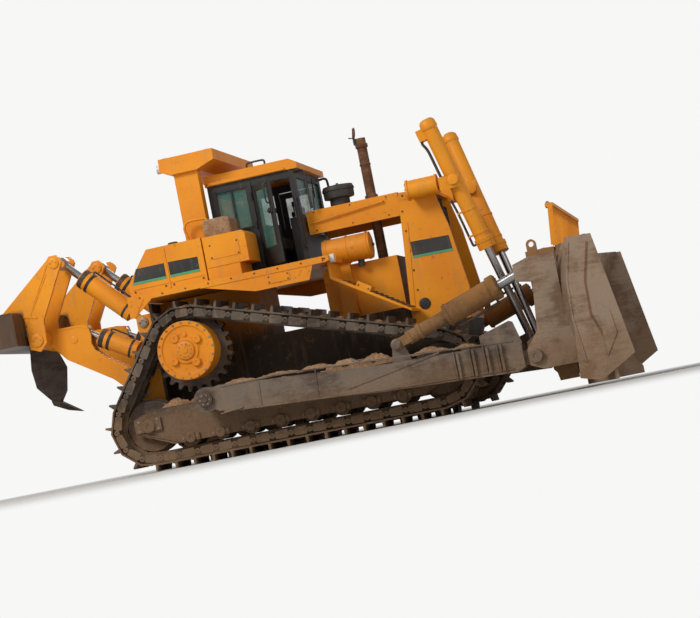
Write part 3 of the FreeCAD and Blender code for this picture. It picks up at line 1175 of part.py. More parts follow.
def ripper():
    """Parallelogram ripper: lower arms, pins, beam with towers, shank and tip."""
    front = (S.ripper_arm_x, S.ripper_arm_z)
    rear = (RIPPER_PIN_X, RIPPER_PIN_Z)
    crown = (S.pitch_front_x - S.pitch_reach, S.pitch_front_z + S.pitch_climb)
    arm_line = (
        near(rear, (20, -115), (60, 115), (520, 105), (630, 85), (660, -45), (645, -175))
        + near(front, (-570, 680), (-420, 540), (-220, 410), (90, 80), (-30, -115), (-390, 250))
        + near(rear, (270, -315), (120, -125)))
    rear_web = near(rear, (60, -105), (70, 85), (340, 85), (410, -385), (270, -310))
    front_web = near(front, (-390, 255), (-260, 420), (-110, 260), (-160, 30))
    tower = (near(crown, (-95, 50), (-50, 100), (45, 100), (95, 50), (110, 0))
             + near(rear, (140, 245), (130, -55), (20, -155), (-110, -105), (-125, 345))
             + [(BEAM_REAR + 260, BEAM_TOP - 10)])
    inner, outer, side_plate = RIPPER_ARM_INNER, RIPPER_ARM_OUTER, S.arm_plate
    arms, pins, holes = [], [], []
    beam = [box(BEAM_REAR, -S.beam_half, BEAM_LOW, S.beam_deep, 2 * S.beam_half, S.beam_high)]
    for _, side in SIDES:
        whole = DOC.addObject("Part::Cut", "arm")
        whole.Base = joined([
            across(side, arm_line, inner, inner + side_plate),
            across(side, arm_line, outer - side_plate, outer),
            across(side, rear_web, inner + side_plate - 1, outer - side_plate + 1),
            across(side, front_web, inner + side_plate - 1, outer - side_plate + 1),
            crossways(side, *rear, S.beam_pin + 70, inner, outer),
            crossways(side, *front, S.ripper_pin + 70, inner, outer)])
        whole.Tool = joined([
            crossways(side, *rear, S.beam_pin + S.pin_gap, inner - 10, outer + 10),
            crossways(side, *front, S.ripper_pin + S.pin_gap, inner - 10, outer + 10)])
        arms.append(whole)
        ends = (TOWER_INNER - S.tower_plate, TOWER_OUTER + S.tower_plate)
        pins.append(crossways(side, *rear, S.beam_pin, *ends))
        holes.append(crossways(side, *rear, S.beam_pin + S.pin_gap, ends[0] - 10, ends[1] + 10))
        for start in (ends[0], TOWER_OUTER):
            beam.append(across(side, tower, start, start + S.tower_plate))
        beam.append(crossways(side, *rear, S.beam_pin + 65, TOWER_INNER - 1, inner - 8))
        beam.append(crossways(side, *rear, S.beam_pin + 65, outer + 8, TOWER_OUTER + 1))
    node("ripper_arms", arms)
    node("ripper_pins", pins)
    node("ripper_beam", beam, holes)
    foot = (BEAM_FRONT, BEAM_LOW)
    half, thick = S.shank_thick / 2, S.shank_thick
    shank_line = near(foot, (-380, -1), (-410, -260), (-380, -520), (-200, -730), (-70, -760), (20, -630),
                      (80, -310), (20, -140), (-40, -1))
    shank = plate(shank_line, -half, thick)
    tip = plate(near(foot, (-201, -731), (-70, -761), (205, -950), (20, -900), (-180, -800)),
                -half - S.tip_room, thick + 2 * S.tip_room)
    node("ripper_shank", [shank])
    node("ripper_tip", [tip], [shank])


def lamps():
    """Working lamps under the canopy's ends and on the walkway's front brackets."""
    pieces = []
    for _, side in SIDES:
        pieces.append(drum("X", CANOPY_REAR - 60, side * (S.canopy_half - 120), CANOPY_LOW + 120, 60, 60))
        pieces.append(drum("X", DECK_FRONT, side * (S.deck_half - 120), DECK_TOP - 40, 55, 60))
    node("lamps", pieces)


tracks()
undercarriage()
main_frame()
ripper_bracket()
platform()
tanks()
roll_over_frame()
cab()
door("right", -1, float(S.door_open))
door("left", 1, 0.0)
radiator_guard()
engine_bay()
push_arms()
blade()
lift_cylinders()
tilt_cylinders()
ripper()
ripper_cylinders()
lamps()


def check_and_export():
    """Stop if anything in the document failed, then write each node's solid."""
    DOC.recompute()
    for thing in DOC.Objects:
        if "Invalid" in thing.State or "Error" in thing.State:
            raise RuntimeError(f"{thing.Label} did not compute")
    os.makedirs("parts", exist_ok=True)
    for name, thing in NODES.items():
        shape = thing.Shape
        if shape.isNull() or not shape.isValid() or not shape.Solids:
            raise RuntimeError(f"{name} has no valid shape")
        shape.exportStep(f"parts/{name}.step")
        reach = shape.BoundBox
        print(f"{name:24s} solids {len(shape.Solids):3d} volume {shape.Volume / 1e9:8.4f} m3 "
              f"x {reach.XMin:7.0f} {reach.XMax:7.0f} y {reach.YMin:7.0f} {reach.YMax:7.0f} "
              f"z {reach.ZMin:7.0f} {reach.ZMax:7.0f}")


check_and_export()
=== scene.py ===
"""Finishes, fittings and studio of a crawler dozer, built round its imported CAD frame.

Every length is in metres in the frame of the CAD: +X forward to the blade, +Y to the machine's left
and +Z up, with the origin on the floor under the middle of the machine. Stations given "from the rear
idler" are turned into that frame by STATION_ZERO.
"""
from __future__ import annotations

import json
import logging
import math
from dataclasses import dataclass
from enum import Enum
from typing import Any, Sequence

import bpy
import numpy as np
from mathutils import Matrix

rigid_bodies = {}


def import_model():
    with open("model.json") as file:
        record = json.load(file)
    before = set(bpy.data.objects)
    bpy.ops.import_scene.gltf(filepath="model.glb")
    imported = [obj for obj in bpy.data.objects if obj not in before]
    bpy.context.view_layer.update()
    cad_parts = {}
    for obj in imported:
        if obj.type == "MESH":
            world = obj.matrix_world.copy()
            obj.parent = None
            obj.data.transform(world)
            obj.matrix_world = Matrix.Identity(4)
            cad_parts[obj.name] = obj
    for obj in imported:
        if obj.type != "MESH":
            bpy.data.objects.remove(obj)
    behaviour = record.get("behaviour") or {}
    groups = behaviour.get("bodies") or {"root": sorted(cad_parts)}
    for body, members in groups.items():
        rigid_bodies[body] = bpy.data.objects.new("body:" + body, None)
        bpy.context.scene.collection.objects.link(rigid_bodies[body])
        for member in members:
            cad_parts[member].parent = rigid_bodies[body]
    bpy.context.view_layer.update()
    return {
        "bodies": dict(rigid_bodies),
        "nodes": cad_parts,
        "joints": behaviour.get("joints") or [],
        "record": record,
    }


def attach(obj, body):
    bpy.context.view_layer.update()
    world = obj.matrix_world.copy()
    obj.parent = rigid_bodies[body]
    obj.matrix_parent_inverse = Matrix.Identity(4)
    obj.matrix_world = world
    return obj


LOG = logging.getLogger("dozer")
Array = np.ndarray
Colour = tuple[float, float, float]
Number = int | float

STATION_ZERO = 2.085
SIDES: tuple[tuple[str, int], ...] = (("right", -1), ("left", 1))


def at(station: Number, side: Number, height: Number) -> Array:
    """A point from its station behind or ahead of the rear idler, its side and its height."""
    return np.array([station - STATION_ZERO, side, height], float)


# Shader maths

class Wire:
    """One output socket, with arithmetic that adds Math nodes to its tree."""

    def __init__(self, bench: "Bench", socket: Any) -> None:
        """Keeps the bench that made the socket."""
        self.bench = bench
        self.socket = socket

    def _maths(self, operation: str, *values: "Wire | Number") -> "Wire":
        """A Math node on this and other values."""
        return self.bench.node("ShaderNodeMath", {"operation": operation}, dict(enumerate(values)))

    def __add__(self, other: "Wire | Number") -> "Wire":
        """Sum."""
        return self._maths("ADD", self, other)

    def __sub__(self, other: "Wire | Number") -> "Wire":
        """Difference."""
        return self._maths("SUBTRACT", self, other)

    def __mul__(self, other: "Wire | Number") -> "Wire":
        """Product."""
        return self._maths("MULTIPLY", self, other)

    def __rsub__(self, other: Number) -> "Wire":
        """A number less this value."""
        return self._maths("SUBTRACT", other, self)

    __radd__ = __add__
    __rmul__ = __mul__

    def larger(self, other: "Wire | Number") -> "Wire":
        """The larger of two values."""
        return self._maths("MAXIMUM", self, other)

    def clipped(self) -> "Wire":
        """The value held between 0 and 1."""
        return self._maths("MINIMUM", self.larger(0.0), 1.0)

    def step(self, low: Number, high: Number) -> "Wire":
        """A smooth step from 0 at low to 1 at high, or down again where low is above high."""
        ends = {"From Min": low, "From Max": high} if low < high else {"From Min": high, "From Max": low}
        made = self.bench.node("ShaderNodeMapRange", {"interpolation_type": "SMOOTHSTEP"}, {"Value": self, **ends})
        return made if low < high else 1.0 - made


class Bench:
    """Makes the nodes of one material or world."""

    def __init__(self, owner: bpy.types.Material | bpy.types.World) -> None:
        """Empties the owner's tree."""
        self.owner = owner
        self.owner.use_nodes = True
        self.tree = self.owner.node_tree
        self.tree.nodes.clear()
        self._place: Wire | None = None

    @classmethod
    def material(cls, name: str) -> "Bench":
        """A bench for a new material."""
        return cls(bpy.data.materials.new(name))

    def node(self, kind: str, settings: dict[str, Any] | None = None,
             inputs: dict[str | int, Any] | None = None, out: str | int = 0) -> Wire:
        """Adds one node.

        Args:
            kind: The node's type.
            settings: Its properties, set before its sockets; "stops" fills a colour ramp.
            inputs: Values or wires by socket name or number.
            out: Which output to return.

        Returns:
            The chosen output.
        """
        made = self.tree.nodes.new(kind)
        for key, value in (settings or {}).items():
            if key == "stops":
                self._fill_ramp(made.color_ramp, value)
            else:
                setattr(made, key, value)
        for key, value in (inputs or {}).items():
            socket = made.inputs[key]
            if isinstance(value, Wire):
                self.tree.links.new(value.socket, socket)
            elif isinstance(value, tuple) and len(value) == 3 and socket.type == "RGBA":
                socket.default_value = (*value, 1.0)
            else:
                socket.default_value = value
        return Wire(self, made.outputs[out] if made.outputs else None)

    @staticmethod
    def _fill_ramp(ramp: Any, stops: Sequence[tuple[float, Colour]]) -> None:
        """Gives a colour ramp its stops."""
        while len(ramp.elements) < len(stops):
            ramp.elements.new(0.5)
        for element, (place, colour) in zip(ramp.elements, stops):
            element.position = place
            element.color = (*colour, 1.0)

    def place(self) -> Wire:
        """Object coordinates, in metres in the machine's frame."""
        if self._place is None:
            self._place = self.node("ShaderNodeTexCoord", out="Object")
        return self._place

    def stretched(self, factors: Colour) -> Wire:
        """Object coordinates multiplied along each axis."""
        return self.node("ShaderNodeVectorMath", {"operation": "MULTIPLY"}, {0: self.place(), 1: factors})

    def noise(self, scale: float, detail: float = 4.0, rough: float = 0.55, where: Wire | None = None,
              twist: float = 0.0) -> Wire:
        """Fractal noise between about 0.3 and 0.7, with features one over the scale in metres."""
        return self.node("ShaderNodeTexNoise", {}, {
            "Vector": where or self.place(), "Scale": scale, "Detail": detail, "Roughness": rough,
            "Distortion": twist})

    def axis(self, which: str) -> Wire:
        """One coordinate of the place."""
        return self.node("ShaderNodeSeparateXYZ", {}, {0: self.place()}, out=which)

    def upward(self) -> Wire:
        """How far the surface faces up, from -1 to 1."""
        facing = self.node("ShaderNodeNewGeometry", out="Normal")
        return self.node("ShaderNodeSeparateXYZ", {}, {0: facing}, out="Z")

    def mix(self, share: Wire | Number, first: Wire | Colour, second: Wire | Colour) -> Wire:
        """A colour between two, by a share."""
        return self.node("ShaderNodeMix", {"data_type": "RGBA"}, {0: share, 6: first, 7: second}, out=2)

    def bump(self, height: Wire, depth: float, after: Wire | None = None) -> Wire:
        """A normal tilted by a height map whose full range is depth metres."""
        inputs: dict[str | int, Any] = {"Height": height, "Distance": depth, "Strength": 1.0}
        if after is not None:
            inputs["Normal"] = after
        return self.node("ShaderNodeBump", {}, inputs)

    def finish(self, **sockets: Any) -> bpy.types.Material:
        """Closes the material with a Principled shader.

        Args:
            sockets: Values or wires by the socket's name in lower case with underscores.

        Returns:
            The finished material.
        """
        inputs = {key.replace("_", " ").title().replace("Ior", "IOR"): value for key, value in sockets.items()}
        shader = self.node("ShaderNodeBsdfPrincipled", {}, inputs)
        self.node("ShaderNodeOutputMaterial", {}, {"Surface": shader})
        return self.owner


# Finishes

SOIL: Colour = (0.150, 0.078, 0.036)
DUST: Colour = (0.330, 0.195, 0.098)
RUST: Colour = (0.110, 0.040, 0.017)


@dataclass(frozen=True)
class Weather:
    """How much of the ground a surface carries."""

    dust: float = 0.5
    mud: float = 0.5
    mud_top: float = 1.3
    wear: float = 0.3

    def soil(self, bench: Bench, colour: Wire) -> tuple[Wire, Wire]:
        """Lays dust on faces that look up and mud on what is near the ground.

        Args:
            bench: The material's bench.
            colour: The clean colour.

        Returns:
            The soiled colour and the share of the surface that is covered.
        """
        patch = bench.noise(2.1, 6.0, 0.62)
        grain = bench.noise(23.0, 5.0, 0.7)
        lie = bench.upward().step(0.35, 0.95) * (patch + grain * 0.5).step(0.62, 0.86) * self.dust
        near = bench.axis("Z").step(self.mud_top, 0.15)
        splash = (near + (patch + grain) * 0.55 - 0.55).step(0.35, 0.75) * self.mud
        streak = bench.noise(9.0, 4.0, 0.6, bench.stretched((1.0, 1.0, 0.12))).step(0.52, 0.72) * self.wear * 0.5
        dusty = bench.mix(lie.larger(streak), colour, DUST)
        return bench.mix(splash.clipped(), dusty, bench.mix(grain, SOIL, DUST)), lie.larger(splash).clipped()


@dataclass(frozen=True)
class PaintFinish:
    """Machine enamel with fading, dust, mud, scuffs and chips down to rust."""

    name: str
    colour: Colour
    shade: Colour
    weather: Weather = Weather()
    rough: float = 0.42
    bare_behind: float | None = None
    # Heights over which the enamel falls to near-black: painted shade with some grime.
    shade_and_grime_below: tuple[float, float] | None = None

    def make(self) -> bpy.types.Material:
        """Builds the material."""
        bench = Bench.material(self.name)
        tone = bench.noise(0.9, 3.0, 0.5).step(0.35, 0.68)
        fine = bench.noise(46.0, 3.0, 0.6)
        enamel = bench.mix(tone * 0.8 + fine * 0.2, self.colour, self.shade)
        if self.bare_behind is not None:
            low = bench.axis("Z").step(2.47, 2.37)
            bare = (bench.axis("X") + fine * 0.04).step(self.bare_behind + 0.05, self.bare_behind) * low
            enamel = bench.mix(bare, enamel, bench.mix(tone, (0.105, 0.060, 0.035), (0.060, 0.034, 0.022)))
        # Near-black enamel below the given heights: painted shade under the deck and between the tracks, partly mud and
        # grime.
        if self.shade_and_grime_below is not None:
            shade_and_grime = (bench.axis("Z") + fine * 0.3 - 0.15).step(*self.shade_and_grime_below)
            enamel = bench.mix(shade_and_grime, enamel, bench.mix(tone, (0.055, 0.034, 0.020), (0.030, 0.019, 0.013)))
        scuff = (bench.noise(6.5, 8.0, 0.74) * 0.75 + fine * 0.25).step(0.565, 0.62) * self.weather.wear
        chips = (bench.noise(17.0, 6.0, 0.68) + tone * 0.05).step(0.665, 0.70) * self.weather.wear
        worn = bench.mix(chips.clipped(), bench.mix(scuff * 0.6, enamel, (0.30, 0.19, 0.09)), RUST)
        colour, covered = self.weather.soil(bench, worn)
        peel = bench.noise(160.0, 2.0, 0.5)
        normal = bench.bump(peel * 0.2 + covered * fine * 2.0 - chips * 0.6, 0.004)
        rough = covered * 0.4 + scuff * 0.2 + tone * 0.08 + self.rough
        return bench.finish(base_color=colour, roughness=rough.clipped(), normal=normal, specular_ior_level=0.28)


@dataclass(frozen=True)
class SteelFinish:
    """Bare steel: scraped bright, scaled brown, and soiled."""

    name: str
    bright: Colour
    scale: Colour
    weather: Weather = Weather()
    metal: float = 0.7
    rough: float = 0.5

    def make(self) -> bpy.types.Material:
        """Builds the material."""
        bench = Bench.material(self.name)
        brushed = bench.noise(14.0, 7.0, 0.7, bench.stretched((0.35, 1.0, 1.6)))
        pits = bench.noise(60.0, 5.0, 0.7)
        broad = bench.noise(1.7, 6.0, 0.62)
        scaled = (broad * 0.7 + brushed * 0.3).step(0.44, 0.58)
        steel = bench.mix(scaled, self.bright, self.scale)
        steel = bench.mix(pits.step(0.55, 0.72) * 0.5, steel, RUST)
        colour, covered = self.weather.soil(bench, steel)
        normal = bench.bump(pits * 0.5 + brushed * 0.4 + covered * pits * 1.6, 0.006)
        metallic = (1.0 - covered) * (1.0 - scaled * 0.6) * self.metal
        rough = covered * 0.35 + scaled * 0.18 + self.rough
        return bench.finish(base_color=colour, roughness=rough.clipped(), metallic=metallic.clipped(), normal=normal)


@dataclass(frozen=True)
class PlainFinish:
    """A smooth manufactured finish with fine grain, such as rubber, plastic, chrome or cloth."""

    name: str
    colour: Colour
    second: Colour
    grain: float = 60.0
    depth: float = 0.0004
    rough: float = 0.5
    metal: float = 0.0
    weather: Weather = Weather(0.3, 0.2)

    def make(self) -> bpy.types.Material:
        """Builds the material."""
        bench = Bench.material(self.name)
        grain = bench.noise(self.grain, 4.0, 0.6)
        broad = bench.noise(3.0, 4.0, 0.6)
        base = bench.mix((broad + grain).step(0.8, 1.2), self.colour, self.second)
        colour, covered = self.weather.soil(bench, base)
        rough = covered * 0.35 + broad * 0.12 + self.rough
        return bench.finish(base_color=colour, roughness=rough.clipped(), metallic=(1.0 - covered) * self.metal,
                            normal=bench.bump(grain, self.depth))


@dataclass(frozen=True)
class GlassFinish:
    """Tinted safety glass with a patchy film of dust."""

    name: str
    tint: Colour
    alpha: float = 0.42

    def make(self) -> bpy.types.Material:
        """Builds the material."""
        bench = Bench.material(self.name)
        film = bench.noise(3.4, 6.0, 0.62).step(0.42, 0.72)
        speck = bench.noise(70.0, 3.0, 0.6).step(0.6, 0.75)
        dirt = (film * 0.45 + speck * 0.25).clipped()
        return bench.finish(base_color=bench.mix(dirt, self.tint, DUST), roughness=dirt * 0.5 + 0.05,
                            alpha=(dirt * 0.5 + self.alpha).clipped())


@dataclass(frozen=True)
class SoilFinish:
    """Dry earth: a matt ground in two tones with clods."""

    name: str
    colour: Colour
    second: Colour

    def make(self) -> bpy.types.Material:
        """Builds the material."""
        bench = Bench.material(self.name)
        clods = bench.noise(34.0, 6.0, 0.7)
        broad = bench.noise(5.0, 4.0, 0.6)
        colour = bench.mix((clods * 0.6 + broad * 0.4).step(0.42, 0.6), self.colour, self.second)
        return bench.finish(base_color=colour, roughness=0.95, normal=bench.bump(clods, 0.03))


class Look(Enum):
    """The finishes on this machine, by the record's material slots and the fittings that scene adds."""

    YELLOW = PaintFinish("yellow_paint", (0.80, 0.300, 0.010), (0.68, 0.215, 0.007), Weather(0.45, 0.7, 1.2, 0.45))
    MUDDY = PaintFinish("muddy_paint", (0.30, 0.125, 0.022), (0.13, 0.062, 0.025), Weather(0.7, 1.0, 2.3, 0.8), 0.7)
    # Hull paint: the yellow enamel made darker, and near-black from 1.85 m down to 1.40 m. This is painted shade under
    # the deck and between the tracks, partly mud and grime.
    HULL = PaintFinish("hull_paint", (0.58, 0.215, 0.012), (0.42, 0.150, 0.012), Weather(0.6, 0.6, 1.0, 0.7), 0.6, None,
                       (1.85, 1.40))
    BOX = PaintFinish("box_paint", (0.37, 0.185, 0.066), (0.24, 0.125, 0.055), Weather(0.7, 0.5, 1.2, 0.8), 0.65)
    BEAM = PaintFinish("beam_paint", (0.80, 0.300, 0.010), (0.68, 0.215, 0.007), Weather(0.45, 0.6, 1.2, 0.5), 0.42,
                       -3.63)
    WORN_STEEL = SteelFinish("worn_steel", (0.33, 0.235, 0.165), (0.185, 0.110, 0.062), Weather(0.7, 0.5, 1.3, 0.5), 0.45)
    ARM_STEEL = SteelFinish("arm_steel", (0.185, 0.140, 0.105), (0.085, 0.055, 0.037), Weather(0.8, 0.45, 1.1, 0.5), 0.45)
    TRACK = SteelFinish("track_steel", (0.115, 0.085, 0.062), (0.044, 0.030, 0.021), Weather(1.0, 0.55, 1.6, 0.7), 0.35, 0.55)
    DARK_STEEL = SteelFinish("dark_steel", (0.085, 0.057, 0.040), (0.036, 0.023, 0.016), Weather(0.7, 0.6, 1.3), 0.3,
                             0.55)
    BLACK = PaintFinish("black_paint", (0.022, 0.022, 0.023), (0.045, 0.042, 0.038), Weather(0.5, 0.3, 1.0, 0.25), 0.45)
    GLASS = GlassFinish("glass", (0.10, 0.26, 0.23), 0.34)
    LAMP = GlassFinish("lamp_glass", (0.85, 0.83, 0.76), 0.75)
    CHROME = PlainFinish("chrome_rod", (0.42, 0.42, 0.43), (0.34, 0.335, 0.33), 9.0, 0.0001, 0.2, 1.0,
                         Weather(0.2, 0.15, 1.0, 0.15))
    RUSTY = SteelFinish("rust", (0.21, 0.095, 0.043), (0.10, 0.042, 0.020), Weather(0.4, 0.1), 0.2, 0.7)
    GREEN = PaintFinish("green_line", (0.05, 0.33, 0.16), (0.08, 0.30, 0.17), Weather(0.3, 0.1, 1.0, 0.2), 0.4)
    RUBBER = PlainFinish("black_rubber", (0.018, 0.018, 0.018), (0.03, 0.028, 0.026), 90.0, 0.0004, 0.75)
    SOIL = SoilFinish("dried_soil", (0.30, 0.155, 0.075), (0.44, 0.265, 0.145))
    CLOTH = PlainFinish("seat_cloth", (0.36, 0.255, 0.15), (0.27, 0.19, 0.11), 190.0, 0.0012, 0.9, 0.0,
                        Weather(0.5, 0.0))

    @property
    def slot(self) -> str:
        """The record's material slot that this finish belongs to."""
        spare = {Look.SOIL: "rust", Look.GREEN: "black_paint", Look.RUBBER: "black_paint", Look.MUDDY: "yellow_paint",
                 Look.HULL: "yellow_paint", Look.BOX: "worn_steel",
                 Look.BEAM: "yellow_paint", Look.ARM_STEEL: "worn_steel"}
        return spare.get(self, self.value.name)


class Finishes:
    """Makes each material once."""

    def __init__(self) -> None:
        """Starts with none made."""
        self._made: dict[Look, bpy.types.Material] = {}

    def get(self, look: Look) -> bpy.types.Material:
        """The material of a look."""
        if look not in self._made:
            self._made[look] = look.value.make()
        return self._made[look]


def dress(frame: dict[str, Any], finishes: Finishes) -> None:
    """Gives every CAD node the finish of its material slot.

    Args:
        finishes: The maker of materials.
    """
    by_slot = {look.value.name: look for look in Look}
    own = {"main_frame": Look.HULL, "tilt_barrels": Look.MUDDY, "push_arms": Look.ARM_STEEL, "ripper_beam": Look.BEAM,
           "blade_frame": Look.BOX, "engine": Look.YELLOW}
    slots = {row["node"]: row["material_slot"] for row in frame["record"]["subparts"]}
    for name, node in frame["nodes"].items():
        node.data.materials.clear()
        node.data.materials.append(finishes.get(own.get(name, by_slot[slots[name]])))
        LOG.info("dressed %s in %s", name, slots[name])


# Surfaces worked out as arrays

def unit(vector: Array) -> Array:
    """The vector at length 1, row by row."""
    return vector / np.linalg.norm(vector, axis=-1, keepdims=True)


def sides_of(axis: Array) -> tuple[Array, Array]:
    """Two directions square to an axis and to each other, so that their cross product is the axis."""
    spare = np.eye(3)[np.argmin(np.abs(axis))]
    first = unit(spare - axis * np.dot(spare, axis))
    return first, np.cross(axis, first)


def ring_quads(rows: int, columns: int) -> Array:
    """Quads of a surface whose rows close on themselves: each joins two neighbours of two rows."""
    i, j = np.meshgrid(np.arange(rows - 1), np.arange(columns), indexing="ij")
    k = (j + 1) % columns
    return np.stack([i * columns + j, i * columns + k, (i + 1) * columns + k, (i + 1) * columns + j], -1).reshape(-1, 4)


def smooth_path(points: Sequence[Array], steps: int = 6) -> Array:
    """A curve through points: on each span the cubic with tangents of half the neighbours' distance."""
    p = np.array(points, float)
    p = np.concatenate([2 * p[:1] - p[1:2], p, 2 * p[-1:] - p[-2:-1]])
    s = np.linspace(0, 1, steps, endpoint=False)[:, None, None]
    a, b, c, d = p[:-3], p[1:-2], p[2:-1], p[3:]
    body = 0.5 * (2 * b + (c - a) * s + (2 * a - 5 * b + 4 * c - d) * s**2 + (3 * b - a - 3 * c + d) * s**3)
    return np.concatenate([body.transpose(1, 0, 2).reshape(-1, 3), p[-2:-1]])


class Form:
    """Points and faces of one piece, put together from worked-out surfaces."""

    def __init__(self) -> None:
        """Starts empty."""
        self.points: list[Array] = []
        self.faces: list[list[int]] = []
        self.count = 0

    def add(self, points: Array, *faces: Array) -> "Form":
        """Adds points and arrays of faces that number them from 0."""
        flat = np.asarray(points, float).reshape(-1, 3)
        for group in faces:
            self.faces.extend((np.asarray(group) + self.count).tolist())
        self.points.append(flat)
        self.count += len(flat)
        return self

    def tube(self, path: Array, radius: float | Array, sides: int = 12) -> "Form":
        """A round tube: at each point of the path a circle square to it, closed by flat ends."""
        path = np.asarray(path, float)
        along = unit(np.gradient(path, axis=0))
        spread = np.linalg.svd(path - path.mean(0))[2][-1]
        if len(path) == 2 or np.abs(along @ spread).max() > 0.9:
            spread = sides_of(along[0])[0]
        first = unit(spread - along * (along @ spread)[:, None])
        second = np.cross(along, first)
        turn = np.linspace(0, 2 * np.pi, sides, endpoint=False)
        size = np.broadcast_to(radius, len(path))[:, None, None]
        ring = path[:, None] + size * (np.cos(turn)[:, None] * first[:, None] + np.sin(turn)[:, None] * second[:, None])
        last = np.arange(sides) + (len(path) - 1) * sides
        return self.add(ring, ring_quads(len(path), sides), [np.arange(sides)[::-1]], [last])

    def turned(self, start: Array, axis: Array, profile: Sequence[tuple[float, float]], sides: int = 24) -> "Form":
        """A turned piece: the profile of (distance along the axis, radius) carried round the axis."""
        axis = unit(np.asarray(axis, float))
        first, second = sides_of(axis)
        turn = np.linspace(0, 2 * np.pi, sides, endpoint=False)
        rim = np.cos(turn)[:, None] * first + np.sin(turn)[:, None] * second
        line = np.array(profile, float)
        ring = start + line[:, :1, None] * axis + line[:, 1:, None] * rim
        last = np.arange(sides) + (len(line) - 1) * sides
        return self.add(ring, ring_quads(len(line), sides), [np.arange(sides)[::-1]], [last])

    def plate(self, outline: Sequence[tuple[float, float]], start: Array, right: Array, up: Array,
              depth: Array) -> "Form":
        """A flat plate: an outline of (right, up) distances from a start, carried along the depth."""
        line = np.array(outline, float)
        x, y = line.T
        area = np.sum(x * np.roll(y, -1) - y * np.roll(x, -1))
        if area * np.dot(np.cross(right, up), depth) < 0:
            line = line[::-1]
        face = start + line[:, :1] * right + line[:, 1:] * up
        n = len(line)
        return self.add(np.stack([face, face + depth]), ring_quads(2, n), [np.arange(n)[::-1]], [np.arange(n) + n])

    def block(self, low: Array, high: Array) -> "Form":
        """A box between two corners."""
        low, high = np.minimum(low, high), np.maximum(low, high)
        size = high - low
        x, y, z = np.eye(3)
        return self.plate([(0, 0), (size[0], 0), (size[0], size[1]), (0, size[1])], low, x, y, z * size[2])

    def brick(self, middle: Array, axes: Sequence[Array], size: Sequence[float]) -> "Form":
        """A turned box about its middle, by its three directions and its sizes along them."""
        x, y, z = (np.asarray(axis, float) * length for axis, length in zip(axes, size))
        return self.plate([(0, 0), (1, 0), (1, 1), (0, 1)], middle - (x + y + z) / 2, x, y, z)

    def strip(self, path: Array, width: float, height: float, up: Array) -> "Form":
        """A bar of rectangular section along a path, its height along one direction."""
        path = np.asarray(path, float)
        along = unit(np.gradient(path, axis=0))
        across = unit(np.cross(along, up)) * width / 2
        rise = np.asarray(up, float) * height
        ring = np.stack([path - across, path + across, path + across + rise, path - across + rise], 1)
        last = np.arange(4) + (len(path) - 1) * 4
        return self.add(ring, ring_quads(len(path), 4)[:, ::-1], [np.arange(4)], [last[::-1]])

    def bolts(self, places: Array, facing: Array, size: float) -> "Form":
        """Hexagon heads: for each place two rings of six and a smaller top ring, all square to its facing."""
        places = np.asarray(places, float).reshape(-1, 3)
        facing = unit(np.broadcast_to(np.asarray(facing, float), places.shape))
        spare = np.where(np.abs(facing[:, 2:]) < 0.9, [[0.0, 0.0, 1.0]], [[1.0, 0.0, 0.0]])
        first = unit(np.cross(spare, facing))
        second = np.cross(facing, first)
        turn = np.linspace(0, 2 * np.pi, 6, endpoint=False)
        rim = np.cos(turn)[:, None] * first[:, None] + np.sin(turn)[:, None] * second[:, None]
        rows = np.array([(0.0, 1.0), (0.45, 1.0), (0.6, 0.78)]) * size
        ring = (places[:, None, None] + rows[None, :, :1, None] * facing[:, None, None]
                + rows[None, :, 1:, None] * rim[:, None])
        start = (np.arange(len(places)) * 18)[:, None]
        quads = (start[:, :, None] + ring_quads(3, 6)[None]).reshape(-1, 4)
        return self.add(ring, quads, start + np.arange(12, 18), start + np.arange(6)[::-1])

    def mound(self, middle: Array, reach: tuple[float, float], height: float, seed: int, lumps: float = 0.35) -> "Form":
        """A heap of soil: a disc of rings whose height falls as (1 - r squared), lumpy by random waves."""
        rings, sides = 9, 30
        dice = np.random.default_rng(seed)
        r, turn = np.meshgrid(np.linspace(0.04, 1, rings), np.linspace(0, 2 * np.pi, sides, endpoint=False), indexing="ij")
        wave = np.zeros_like(r)
        for k in range(2, 8):
            wave += dice.uniform(-1, 1) / k * np.sin(k * turn + dice.uniform(0, 6)) * r
            wave += dice.uniform(-1, 1) / k * np.sin(k * 1.7 * r * np.pi + dice.uniform(0, 6)) * (1 - r)
        out = 1 + 0.25 * wave + 0.05 * dice.uniform(-1, 1, r.shape) * r
        rise = height * (1 - r**2) * (1 + lumps * wave) + height * 0.22 * dice.uniform(-1, 1, r.shape) * (1 - r**4)
        top = middle + np.stack([r * out * np.cos(turn) * reach[0], r * out * np.sin(turn) * reach[1], rise], -1)
        ring = top[::-1]
        base = ring[:1] * [1, 1, 0] + [0, 0, middle[2] - 0.004]
        ring = np.concatenate([base, ring])
        last = np.arange(sides) + rings * sides
        return self.add(ring, ring_quads(rings + 1, sides), [np.arange(sides)[::-1]], [last])


def mirrored(side: int) -> Array:
    """Factors that carry a point of the left side to a side."""
    return np.array([1.0, float(side), 1.0])


